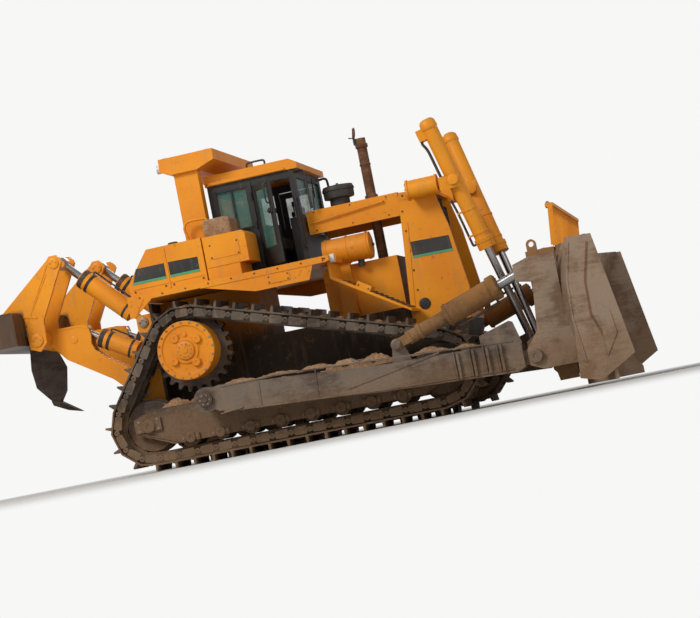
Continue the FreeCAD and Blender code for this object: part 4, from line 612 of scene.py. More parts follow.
@dataclass
class Workshop:
    """Hands finished forms over to the machine's bodies."""

    frame: dict[str, Any]
    finishes: "Finishes"

    def fit(self, name: str, form: Form, look: "Look", body: str = "chassis", bevel: float = 0.0,
            sharp: float = 38.0) -> bpy.types.Object:
        """Makes a form a piece that rides on a body.

        Args:
            name: The piece's name.
            form: Its surface.
            look: Its finish.
            body: The body that carries it.
            bevel: Width of its rounded edges, or 0 for none.
            sharp: Angle in degrees above which an edge stays sharp.

        Returns:
            The piece.
        """
        mesh = bpy.data.meshes.new(name)
        mesh.from_pydata(np.concatenate(form.points).tolist(), [], form.faces)
        mesh.shade_smooth()
        mesh.set_sharp_from_angle(angle=math.radians(sharp))
        mesh.materials.append(self.finishes.get(look))
        piece = bpy.data.objects.new(name, mesh)
        bpy.context.scene.collection.objects.link(piece)
        if bevel:
            edges = piece.modifiers.new("edges", "BEVEL")
            edges.width = bevel
            edges.segments = 2
            edges.limit_method = "ANGLE"
            edges.angle_limit = math.radians(40)
        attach(piece, body)
        look.slot
        LOG.info("fitted %s to %s, %d faces", name, body, len(form.faces))
        return piece


X_AXIS, Y_AXIS, Z_AXIS = np.eye(3)


# Undercarriage

@dataclass
class TrackFittings:
    """Bolts on the shoes and the ends of the track pins, set along the belt's line."""

    gauge: float = 2.55
    wheels: tuple[tuple[float, float, float], ...] = ((0.70, 1.45, 0.502), (3.85, 0.59, 0.425), (0.0, 0.59, 0.425))
    shoes: int = 44
    strand: float = 0.10
    shoe_half: float = 0.305
    shoe_face: float = 0.084

    def pins(self) -> Array:
        """The pins as (station, height), evenly along the line round the wheels.

        The line is three arcs joined by the wheels' common outer tangents; a point's place on it comes
        from its share of the whole length.
        """
        wheels = np.array(self.wheels)
        nextof = np.roll(wheels, -1, axis=0)
        gap = nextof[:, :2] - wheels[:, :2]
        lean = np.arctan2(gap[:, 1], gap[:, 0]) + np.arccos((wheels[:, 2] - nextof[:, 2]) / np.hypot(*gap.T))
        fine = 400
        parts = []
        for i in range(3):
            start, end = lean[i - 1], lean[i]
            turn = start - np.linspace(0, (start - end) % (2 * np.pi), fine)
            arc = wheels[i, :2] + wheels[i, 2] * np.stack([np.cos(turn), np.sin(turn)], 1)
            to = nextof[i, :2] + nextof[i, 2] * np.array([np.cos(end), np.sin(end)])
            parts += [arc, arc[-1] + np.linspace(0, 1, fine)[1:-1, None] * (to - arc[-1])]
        line = np.concatenate(parts)
        line = np.concatenate([line, line[:1]])
        way = np.concatenate([[0], np.cumsum(np.hypot(*np.diff(line, axis=0).T))])
        want = (np.arange(self.shoes) + 0.5) / self.shoes * way[-1]
        return np.stack([np.interp(want, way, line[:, 0]), np.interp(want, way, line[:, 1])], 1)

    def build(self, shop: Workshop) -> None:
        """Fits both tracks."""
        pins = self.pins()
        span = np.roll(pins, -1, axis=0) - pins
        along = span / np.hypot(*span.T)[:, None]
        out = np.stack([-along[:, 1], along[:, 0]], 1)
        bolts, ends, plates = Form(), Form(), Form()
        for _, side in SIDES:
            middle = side * self.gauge / 2
            for share in (0.47, 0.80):
                for strand in (-1, 1):
                    flat = pins + span * share + out * self.shoe_face
                    place = np.stack([flat[:, 0] - STATION_ZERO, np.full(len(flat), middle + strand * self.strand),
                                      flat[:, 1]], 1)
                    bolts.bolts(place, np.stack([out[:, 0], np.zeros(len(out)), out[:, 1]], 1), 0.026)
            for edge in (-1, 1):
                y = middle + edge * self.shoe_half
                for pin, row in zip(pins, along):
                    start = at(pin[0], y, pin[1])
                    ends.turned(start - 0.004 * edge * Y_AXIS, edge * Y_AXIS, [(0, 0.036), (0.014, 0.036), (0.018, 0.030),
                                                                       (0.018, 0.016), (0.010, 0.014)], 12)
                    lobe = unit(at(row[0] + STATION_ZERO, 0, row[1]))
                    rise = np.cross(lobe, Y_AXIS)
                    plates.plate([(0.05, -0.058), (0.20, -0.05), (0.225, 0.0), (0.20, 0.046), (0.05, 0.050), (0.03, 0.0)],
                                 start - 0.004 * edge * Y_AXIS, lobe, rise, edge * 0.009 * Y_AXIS)
        soil = Form()
        top = np.flatnonzero(out[:, 1] > 0.8)
        for number, (_, side) in enumerate(SIDES):
            for i in top:
                spot = pins[i] + span[i] * 0.55 + out[i] * (self.shoe_face - 0.006)
                soil.mound(at(spot[0], side * self.gauge / 2 + 0.06 * (-1) ** i, spot[1] - 0.012), (0.075, 0.21), 0.036,
                           500 + 60 * number + int(i))
        shop.fit("track_soil", soil, Look.SOIL, sharp=80.0)
        shop.fit("shoe_bolts", bolts, Look.TRACK)
        shop.fit("track_pin_ends", ends, Look.TRACK)
        shop.fit("link_faces", plates, Look.TRACK)


@dataclass
class HubFittings:
    """Cover plate, bosses and bolt rings on both final drives."""

    station: float = 0.70
    height: float = 1.45
    face: float = 1.62
    rim: float = 0.355
    bosses: int = 4
    boss_ring: float = 0.205
    first_boss: float = 33.7
    bolts: int = 20

    def build(self, shop: Workshop) -> None:
        """Fits both hubs."""
        cover, heads, carriers = Form(), Form(), Form()
        for _, side in SIDES:
            out = side * Y_AXIS
            middle = at(self.station, side * self.face, self.height)
            cover.turned(middle - 0.02 * out, out, [(0, 0.379), (0.034, 0.379), (0.040, 0.372), (0.040, 0.322),
                                                  (0.026, 0.310), (0.022, 0.290), (0.030, 0.180), (0.048, 0.165),
                                                  (0.052, 0.128), (0.02, 0.126)], 48)
            turn = np.radians(self.first_boss + 90.0 * np.arange(self.bosses))
            for angle in turn:
                spot = middle + self.boss_ring * (np.cos(angle) * X_AXIS + np.sin(angle) * Z_AXIS)
                carriers.turned(spot, out, [(0, 0.058), (0.036, 0.056), (0.046, 0.048), (0.046, 0.02), (0.04, 0.018)], 20)
            plug = middle + 0.02 * X_AXIS + 0.195 * Z_AXIS
            carriers.turned(plug, out, [(0, 0.026), (0.03, 0.026), (0.034, 0.02)], 6)
            carriers.turned(middle + 0.03 * out, out, [(0, 0.118), (0.022, 0.116), (0.03, 0.10), (0.03, 0.04),
                                                      (0.04, 0.034)], 32)
            around = np.linspace(0, 2 * np.pi, self.bolts, endpoint=False)
            ring = np.stack([np.cos(around), np.zeros(self.bolts), np.sin(around)], 1)
            heads.bolts(middle + self.rim * ring + 0.018 * out, out, 0.017)
            heads.bolts(middle + 0.085 * ring[::2] + 0.058 * out, out, 0.010)
        shop.fit("hub_covers", cover, Look.YELLOW)
        shop.fit("hub_bosses", carriers, Look.YELLOW)
        shop.fit("hub_bolts", heads, Look.WORN_STEEL)


@dataclass
class FrameFittings:
    """Roller caps, idler bearings, covers and guards on the track roller frames."""

    plate: float = 1.52
    rollers: int = 8
    first: float = 0.52
    step: float = 0.40
    roller_height: float = 0.353
    idlers: tuple[float, float] = (0.0, 3.85)
    idler_height: float = 0.59

    def build(self, shop: Workshop) -> None:
        """Fits both frames."""
        caps, heads, blocks, seams = Form(), Form(), Form(), Form()
        for _, side in SIDES:
            out = side * Y_AXIS
            for i in range(self.rollers):
                spot = at(self.first + i * self.step, side * self.plate, self.roller_height)
                caps.turned(spot - 0.002 * out, out, [(0, 0.072), (0.030, 0.072), (0.040, 0.062), (0.040, 0.022),
                                                    (0.032, 0.02)], 24)
                for dx in (-0.095, 0.095):
                    blocks.block(spot + dx * X_AXIS - 0.028 * X_AXIS - 0.045 * Z_AXIS,
                                 spot + dx * X_AXIS + 0.028 * X_AXIS + 0.045 * Z_AXIS + 0.026 * out)
                    heads.bolts([spot + dx * X_AXIS + 0.02 * Z_AXIS, spot + dx * X_AXIS - 0.02 * Z_AXIS],
                                out, 0.016)
                    heads.bolts([spot + dx * X_AXIS + 0.026 * out], out, 0.017)
            for station in self.idlers:
                spot = at(station, side * self.plate, self.idler_height)
                ahead = 1.0 if station > 1 else -1.0
                blocks.plate([(-0.17, -0.07), (0.19 * ahead, -0.07), (0.22 * ahead, -0.03), (0.22 * ahead, 0.05),
                              (0.17 * ahead, 0.10), (-0.17 * ahead, 0.10)] if ahead > 0 else
                             [(0.17, -0.07), (-0.17, -0.07), (-0.185, 0.05), (-0.14, 0.10), (0.17, 0.10)],
                             spot, X_AXIS, Z_AXIS, 0.035 * out)
                caps.turned(spot + 0.03 * out, out, [(0, 0.088), (0.022, 0.086), (0.032, 0.074), (0.032, 0.03),
                                                   (0.024, 0.028)], 28)
                heads.bolts([spot + dx * X_AXIS + dz * Z_AXIS + 0.033 * out
                             for dx in (-0.125, 0.125) for dz in (-0.045, 0.075)], out, 0.018)
            cover = at(2.05, side * self.plate, 0.60)
            blocks.plate([(-0.34, -0.11), (0.42, -0.11), (0.42, 0.10), (-0.34, 0.13)], cover, X_AXIS, Z_AXIS, 0.014 * out)
            heads.bolts([cover + dx * X_AXIS + dz * Z_AXIS + 0.013 * out
                         for dx in (-0.30, -0.05, 0.18, 0.38) for dz in (-0.08, 0.075)], out, 0.015)
            trunnion = at(0.93, side * 1.995, 0.77)
            caps.turned(trunnion - 0.01 * out, out, [(0, 0.094), (0.028, 0.094), (0.036, 0.082), (0.036, 0.038),
                                                    (0.046, 0.034), (0.046, 0.01)], 32)
            turn = np.linspace(0, 2 * np.pi, 6, endpoint=False)
            heads.bolts(trunnion + 0.062 * (np.cos(turn)[:, None] * X_AXIS + np.sin(turn)[:, None] * Z_AXIS)
                        + 0.025 * out, out, 0.012)
            for low, high in (((-0.185, 0.535), (0.44, 0.305)), ((3.59, 0.305), (4.04, 0.535))):
                seams.strip([at(low[0], side * 1.523, low[1]), at(high[0], side * 1.523, high[1])], 0.018, 0.010, out)
        shop.fit("roller_caps", caps, Look.DARK_STEEL)
        soil = Form()
        dice = np.random.default_rng(5)
        for _, side in SIDES:
            for station in np.arange(0.35, 3.5, 0.35):
                soil.mound(at(station, side * (1.28 + 0.06 * dice.uniform(-1, 1)), 0.775), (0.24, 0.17),
                           0.05 + 0.05 * dice.uniform(), int(station * 90) + side)
        shop.fit("frame_soil", soil, Look.SOIL, sharp=80.0)
        shop.fit("roller_frame_bolts", heads, Look.WORN_STEEL)
        shop.fit("roller_frame_blocks", blocks, Look.DARK_STEEL, bevel=0.006)
        shop.fit("roller_frame_seams", seams, Look.DARK_STEEL)


# Blade and its linkage

@dataclass
class ArmFittings:
    """Seams, bolts, flanges and caked soil on the push arms, with the tilt cylinders' fittings."""

    inner: float = 1.68
    outer: float = 1.96
    tilt_rear: tuple[float, float] = (3.44, 0.975)
    tilt_eye: tuple[float, float] = (5.11, 1.54)
    middle: float = 1.82

    def build(self, shop: Workshop) -> None:
        """Fits both arms and both tilt cylinders."""
        seams, heads, plates, soil, shelves = Form(), Form(), Form(), Form(), Form()
        pins, glands, tubes = Form(), Form(), Form()
        for number, (_, side) in enumerate(SIDES):
            out = side * Y_AXIS
            face = side * self.outer
            line = [at(1.14, face, 0.90), at(2.0, face, 0.90), at(3.0, face, 0.845), at(4.0, face, 0.79),
                    at(4.86, face, 0.735)]
            low = [at(1.14, face, 0.585), at(2.2, face, 0.52), at(3.3, face, 0.455), at(4.82, face, 0.40)]
            seams.strip([p + 0.002 * out for p in line], 0.018, 0.008, out)
            seams.strip([p + 0.002 * out for p in low], 0.020, 0.010, out)
            seams.strip([at(2.75, face + side * 0.002, 0.56), at(3.95, face + side * 0.002, 0.775)], 0.022, 0.009, out)
            for station in (1.62, 2.36):
                seams.strip([at(station, face + side * 0.002, 0.54), at(station + 0.02, face + side * 0.002, 0.87)],
                            0.014, 0.007, out)
            for station in (4.15, 4.345, 4.52, 4.69):
                seams.strip([at(station - 0.03, side * 1.972, 0.41), at(station - 0.03, side * 1.972, 0.745)],
                            0.014, 0.010, out)
            eye = at(5.11, side * 1.968, 0.503)
            pins.turned(eye, out, [(-0.02, 0.088), (0.028, 0.088), (0.036, 0.078), (0.036, 0.034), (0.028, 0.032)], 28)
            pins.turned(eye, -out, [(0.29, 0.085), (0.315, 0.085), (0.322, 0.07)], 28)
            rear = at(self.tilt_rear[0], side * self.middle, self.tilt_rear[1])
            front = at(self.tilt_eye[0], side * self.middle, self.tilt_eye[1])
            way = unit(front - rear)
            square = np.cross(way, out)
            pins.turned(rear + 0.118 * out, out, [(-0.02, 0.062), (0.020, 0.062), (0.028, 0.05), (0.028, 0.02)], 24)
            heads.bolts(rear + 0.135 * out + 0.040 * np.stack([X_AXIS, -X_AXIS]), out, 0.012)
            length = float(np.linalg.norm(front - rear))
            head = length - 0.32
            glands.turned(rear + (head - 0.115) * way, way, [(0, 0.150), (0.006, 0.162), (0.098, 0.162), (0.112, 0.150)], 40)
            around = np.linspace(0, 2 * np.pi, 10, endpoint=False)[:, None]
            ring = np.cos(around) * square + np.sin(around) * out
            glands.bolts(rear + (head - 0.001) * way + 0.118 * ring, way, 0.017)
            glands.turned(rear + 0.690 * way, way, [(0, 0.093), (0.02, 0.112), (0.03, 0.150), (0.045, 0.156),
                                                    (0.055, 0.150)], 40)
            glands.turned(rear + 0.30 * way, way, [(0, 0.091), (0.006, 0.100), (0.05, 0.100), (0.056, 0.091)], 32)
            start = rear + 0.80 * way + 0.152 * square
            top = rear + (head - 0.10) * way + 0.158 * square
            tubes.tube(smooth_path([start - 0.02 * square, start + 0.03 * square, start + 0.05 * way + 0.04 * square,
                                    top - 0.05 * way + 0.035 * square, top + 0.028 * square, top - 0.01 * square]),
                       0.016, 10)
            plates.block(start - 0.05 * way - 0.04 * out - 0.012 * square, start + 0.05 * way + 0.04 * out + 0.02 * square)
            dice = np.random.default_rng(11 + number)
            for station, z, long, wide, high in (
                    (1.35, 0.915, 0.26, 0.115, 0.045), (1.85, 0.912, 0.32, 0.12, 0.035), (2.35, 0.893, 0.24, 0.11, 0.05),
                    (2.75, 0.872, 0.22, 0.11, 0.060), (3.12, 0.85, 0.20, 0.10, 0.075), (3.80, 0.81, 0.24, 0.10, 0.06),
                    (4.25, 0.785, 0.18, 0.09, 0.04)):
                soil.mound(at(station, side * (1.815 + 0.01 * dice.uniform(-1, 1)), z - 0.012), (long, wide), high,
                           int(station * 100) + number)
            shelves.plate([(-0.03, 0), (0.27, 0.03), (0.27, 0.045), (-0.03, 0.015)], at(1.12, side * 1.955, 0.555),
                         X_AXIS, Z_AXIS, 0.035 * out)
            shelves.block(at(2.86, side * 1.955, 0.872), at(3.02, side * 1.985, 0.885))
        shop.fit("arm_seams", seams, Look.ARM_STEEL, "push_frame")
        shop.fit("arm_shelves", shelves, Look.ARM_STEEL, "push_frame", bevel=0.003)
        shop.fit("arm_bolts", heads, Look.WORN_STEEL, "push_frame")
        shop.fit("arm_plates", plates, Look.MUDDY, "tilt_barrel_pair", bevel=0.003)
        shop.fit("arm_soil", soil, Look.SOIL, "push_frame", sharp=80.0)
        shop.fit("arm_pins", pins, Look.ARM_STEEL, "push_frame")
        shop.fit("tilt_glands", glands, Look.MUDDY, "tilt_barrel_pair")
        shop.fit("tilt_tubes", tubes, Look.DARK_STEEL, "tilt_barrel_pair")


@dataclass
class BladeFittings:
    """Weld lines, wear plates, bolts, lugs and the rock guard's rail."""

    wing_half: float = 2.47
    edge_bolts: int = 22

    def build(self, shop: Workshop) -> None:
        """Fits the blade."""
        seams, plates, heads, rail, soil, rusty = Form(), Form(), Form(), Form(), Form(), Form()
        for _, side in SIDES:
            out = side * Y_AXIS
            face = side * (self.wing_half + 0.001)
            seams.strip([at(5.80, face, 1.74), at(5.70, face, 1.30), at(5.68, face, 0.85), at(5.74, face, 0.30)],
                        0.020, 0.009, out)
            rusty.strip([at(6.02, face, 1.70), at(5.91, face, 1.25), at(5.90, face, 0.85), at(6.06, face, 0.40)],
                        0.022, 0.008, out)
            plates.plate([(0, 0), (0.16, 0.26), (0.13, 0.52), (-0.01, 0.66)], at(6.00, side * (self.wing_half - 0.002), 0.32),
                         X_AXIS, Z_AXIS, 0.014 * out)
            box = side * 1.50
            for z in (1.32, 0.98):
                plates.plate([(0, 0), (0.24, 0), (0.24, 0.04), (0.05, 0.09), (0, 0.09)], at(5.26, box + side * 0.032, z),
                             X_AXIS, Z_AXIS, 0.020 * out)
            heads.turned(at(5.42, side * 1.532, 1.56), out, [(0, 0.085), (0.010, 0.085), (0.014, 0.075)], 28)
            for z in (1.70, 1.20, 0.62):
                seams.strip([at(5.235, side * 0.30, z), at(5.235, side * 1.47, z)], 0.018, 0.008, -X_AXIS)
            seams.strip([at(5.236, side * 1.485, 1.74), at(5.236, side * 1.485, 0.40)], 0.018, 0.008, -X_AXIS)
            soil.mound(at(5.38, side * 1.05, 1.772), (0.10, 0.34), 0.05, 71 + side)
        shop.fit("blade_seams", seams, Look.WORN_STEEL, "blade")
        shop.fit("blade_rust_lines", rusty, Look.RUSTY, "blade")
        shop.fit("blade_plates", plates, Look.WORN_STEEL, "blade", bevel=0.004)
        shop.fit("blade_boss", heads, Look.WORN_STEEL, "blade")
        shop.fit("blade_soil", soil, Look.SOIL, "blade", sharp=80.0)
        rail.tube([at(5.585, -1.70, 2.312), at(5.585, 1.70, 2.312)], 0.026, 14)
        for y in np.linspace(-1.6, 1.6, 9):
            rail.block(at(5.545, y - 0.012, 2.262), at(5.625, y + 0.012, 2.312))
        shop.fit("guard_rail", rail, Look.WORN_STEEL, "blade")


@dataclass
class LiftFittings:
    """Heads, glands, tubes and formed pipes of the blade's lift cylinders."""

    trunnion: tuple[float, float, float] = (4.40, 0.80, 2.93)
    eye: tuple[float, float, float] = (4.96, 0.46, 0.64)
    shell: float = 0.10

    def build(self, shop: Workshop) -> None:
        """Fits both lift cylinders."""
        for name, side in SIDES:
            caps, glands, tubes, heads = Form(), Form(), Form(), Form()
            pin = at(*self.trunnion[:2], self.trunnion[2]) * [1, side, 1]
            eye = at(*self.eye[:2], self.eye[2]) * [1, side, 1]
            down = unit(eye - pin)
            back = unit(-X_AXIS - down * np.dot(-X_AXIS, down))
            out = np.cross(down, back) * (1 if np.dot(np.cross(down, back), side * Y_AXIS) > 0 else -1)
            top = pin - 0.83 * down
            caps.turned(top + 0.012 * down, down, [(-0.05, 0.062), (-0.036, 0.084), (-0.012, 0.104), (0.05, 0.112),
                                                   (0.075, 0.112), (0.09, 0.101)], 40)
            low = pin + 0.96 * down
            glands.turned(low - 0.15 * down, down, [(0, 0.101), (0.008, 0.120), (0.06, 0.120), (0.066, 0.112),
                                                    (0.125, 0.112), (0.145, 0.100), (0.152, 0.085)], 40)
            around = np.linspace(0, 2 * np.pi, 8, endpoint=False)[:, None]
            ring = np.cos(around) * back + np.sin(around) * out
            heads.bolts(low - 0.004 * down + 0.098 * ring, down, 0.012)
            block = top + 0.10 * down + 0.10 * back
            manifold = Form()
            manifold.plate([(-0.055, -0.05), (0.055, -0.05), (0.055, 0.10), (-0.055, 0.12)], block - 0.02 * back,
                           out, down, 0.105 * back)
            for shift in (-0.026, 0.026):
                path = smooth_path([block + 0.06 * back + shift * out + 0.09 * down,
                                    block + 0.072 * back + shift * out + 0.14 * down,
                                    block + 0.045 * back + shift * out + 0.26 * down,
                                    pin + 0.145 * back + shift * out - 0.12 * down,
                                    pin + 0.135 * back + shift * out - 0.02 * down])
                tubes.tube(path, 0.015, 10)
            path = smooth_path([low - 0.10 * down + 0.10 * back, low - 0.10 * down + 0.15 * back,
                                low - 0.18 * down + 0.155 * back, low - 0.55 * down + 0.150 * back,
                                low - 0.75 * down + 0.15 * back + 0.06 * out])
            tubes.tube(path, 0.016, 10)
            for share in (0.22, 0.55):
                caps.turned(low - share * down, down, [(-0.015, 0.1), (-0.012, 0.108), (0.012, 0.108), (0.015, 0.1)], 36)
                manifold.brick(low - share * down + 0.125 * back, (back, down, out), (0.075, 0.024, 0.05))
            body = f"lift_barrel_{name}_body"
            shop.fit(f"lift_caps_{name}", caps, Look.YELLOW, body)
            shop.fit(f"lift_glands_{name}", glands, Look.YELLOW, body)
            shop.fit(f"lift_bolts_{name}", heads, Look.WORN_STEEL, body)
            shop.fit(f"lift_tubes_{name}", tubes, Look.DARK_STEEL, body)
            shop.fit(f"lift_manifold_{name}", manifold, Look.YELLOW, body, bevel=0.004)
            hub, bolts = Form(), Form()
            for turn in (-1, 1):
                end = pin + turn * 0.185 * Y_AXIS
                hub.turned(end - turn * 0.004 * Y_AXIS, turn * Y_AXIS, [(0, 0.07), (0.014, 0.068), (0.018, 0.05)], 24)
            shop.fit(f"yoke_caps_{name}", hub, Look.YELLOW, f"yoke_{name}")
            housing = at(3.76, side * 0.80, 2.93)
            rims = Form()
            for along in (0.0, 0.385):
                rims.turned(housing + along * X_AXIS, X_AXIS, [(0, 0.125), (0.004, 0.136), (0.03, 0.136), (0.034, 0.125)], 36)
            around = np.linspace(0, 2 * np.pi, 8, endpoint=False)[:, None]
            bolts.bolts(housing - 0.002 * X_AXIS + 0.1 * (np.cos(around) * Y_AXIS + np.sin(around) * Z_AXIS), -X_AXIS, 0.014)
            shop.fit(f"yoke_rims_{name}", rims, Look.YELLOW)
            shop.fit(f"yoke_bolts_{name}", bolts, Look.WORN_STEEL)


# Upper structure

@dataclass
class PanelFittings:
    """Dark panels with a green line, tank caps, hatches, treads and rails on the tanks and walkways."""

    tank_half: float = 1.45

    def decal(self, shop: Workshop, name: str, outline: Sequence[tuple[float, float]], start: Array, right: Array,
              up: Array, out: Array, line: float) -> None:
        """Fits a dark panel and the green line at its foot, both raised from a face."""
        panel, stripe = Form(), Form()
        panel.plate(outline, start - 0.002 * out, right, up, 0.005 * out)
        low = [corner for corner in outline if corner[1] < line]
        left, end = min(c[0] for c in low), max(c[0] for c in low)
        stripe.plate([(left, low[0][1]), (end, low[-1][1]), (end, low[-1][1] + 0.030), (left, low[0][1] + 0.030)],
                     start + 0.001 * out, right, up, 0.005 * out)
        shop.fit(f"{name}_panel", panel, Look.BLACK)
        shop.fit(f"{name}_line", stripe, Look.GREEN)

    def build(self, shop: Workshop) -> None:
        """Fits the tanks, fenders and walkways."""
        trim, heads, caps, tread, rails = Form(), Form(), Form(), Form(), Form()
        for name, side in SIDES:
            out = side * Y_AXIS
            face = side * self.tank_half
            self.decal(shop, f"tank_rear_{name}", [(0.0, 0.0), (0.46, 0.0), (0.46, 0.20), (0.075, 0.20)],
                       at(0.115, face, 2.42), X_AXIS, Z_AXIS, out, 0.1)
            self.decal(shop, f"tank_front_{name}", [(0.0, 0.0), (0.40, 0.0), (0.40, 0.19), (0.0, 0.20)],
                       at(0.63, face, 2.42), X_AXIS, Z_AXIS, out, 0.1)
            trim.strip([at(0.605, face + side * 0.001, 2.29), at(0.605, face + side * 0.001, 2.82)], 0.022, 0.008, out)
            trim.strip([at(0.10, face + side * 0.001, 2.36), at(1.08, face + side * 0.001, 2.36)], 0.014, 0.006, out)
            for station in (0.13, 0.55, 0.66, 1.06):
                heads.bolts([at(station, face, 2.325)], out, 0.014)
            trim.plate([(0, 0), (0.40, 0), (0.40, 0.20), (0, 0.20)], at(1.20, side * 1.449, 2.53), X_AXIS, Z_AXIS, 0.008 * out)
            heads.bolts([at(x, side * 1.456, z) for x in (1.22, 1.58) for z in (2.55, 2.71)], out, 0.012)
            trim.strip([at(1.14, side * 1.451, 2.435), at(1.56, side * 1.451, 2.435)], 0.012, 0.008, out)
            for x, y in ((0.60, 0.95), (1.42, 1.18)):
                caps.turned(at(x, side * y, 2.835), Z_AXIS, [(0, 0.085), (0.03, 0.085), (0.034, 0.068), (0.07, 0.068),
                                                             (0.078, 0.056), (0.078, 0.02)], 28)
            deck = 2.271
            for x in np.arange(1.78, 2.68, 0.065):
                tread.block(at(x, side * 0.84, deck - 0.003), at(x + 0.018, side * 1.52, deck + 0.004))
            skirt = side * 1.551
            trim.plate([(0, 0), (0.30, 0), (0.30, 0.105), (0, 0.105)], at(1.90, skirt - side * 0.002, 2.065), X_AXIS,
                       Z_AXIS, 0.010 * out)
            heads.bolts([at(x, skirt + side * 0.007, z) for x in (1.925, 2.175) for z in (2.085, 2.15)], out, 0.011)
            heads.bolts([at(x, skirt, 2.235) for x in np.arange(0.20, 2.70, 0.31)], out, 0.012)
            heads.bolts([at(2.655, skirt, z) for z in (2.215, 2.24)], out, 0.011)
            trim.strip([at(1.02, skirt, 2.195), at(2.70, skirt, 2.195)], 0.016, 0.008, out)
            start, way = at(2.66, 0, 1.99), unit(at(3.60, 0, 1.38) - at(2.64, 0, 1.99))
            up = unit(np.cross(Y_AXIS, way)) * -1
            if up[2] < 0:
                up = -up
            for step in np.arange(0.14, 1.06, 0.075):
                low = start + step * way + side * 0.95 * Y_AXIS + 0.028 * up
                tread.brick(low, (way, Y_AXIS, up), (0.018, 0.52, 0.012))
            box = start + 0.42 * way + side * 1.10 * Y_AXIS + 0.045 * up
            trim.brick(box, (way, Y_AXIS, up), (0.20, 0.24, 0.09))
            heads.bolts([box + 0.12 * out + shift * way for shift in (-0.07, 0.07)], out, 0.012)
            post = [at(0.88, side * 1.10, 2.84), at(0.84, side * 1.12, 3.02), at(0.90, side * 1.12, 3.11),
                    at(1.10, side * 1.12, 3.11), at(1.155, side * 1.12, 3.08), at(1.16, side * 1.12, 2.83)]
            rails.tube(smooth_path(post, 5), 0.017, 10)
            for foot in (post[0], post[-1]):
                rails.turned(foot - 0.004 * Z_AXIS, Z_AXIS, [(0, 0.038), (0.014, 0.036)], 16)
            heads.bolts([at(x, side * 0.995, 2.865) for x in (0.84, 0.96, 1.08)], out, 0.018)
            trim.plate([(-0.02, 0), (0.34, 0), (0.34, 0.045), (-0.02, 0.045)], at(0.80, side * 0.998, 2.838), X_AXIS,
                       Z_AXIS, 0.018 * out)
            trim.plate([(0, 0), (0.17, 0.02), (0.05, -0.16)], at(0.08, side * 1.548, 2.19), X_AXIS, Z_AXIS, 0.010 * out)
        shop.fit("panel_trim", trim, Look.YELLOW, bevel=0.004)
        shop.fit("panel_bolts", heads, Look.DARK_STEEL)
        shop.fit("tank_caps", caps, Look.BLACK)
        shop.fit("treads", tread, Look.DARK_STEEL)
        shop.fit("grab_rails", rails, Look.YELLOW)
        duct = Form()
        duct.plate([(0, 0), (0.36, 0), (0.36, 0.20), (0.31, 0.23), (0.02, 0.23), (0, 0.19)], at(1.16, -1.40, 2.825), X_AXIS,
                   Z_AXIS, 0.44 * Y_AXIS)
        shop.fit("dusty_box", duct, Look.SOIL, bevel=0.015)


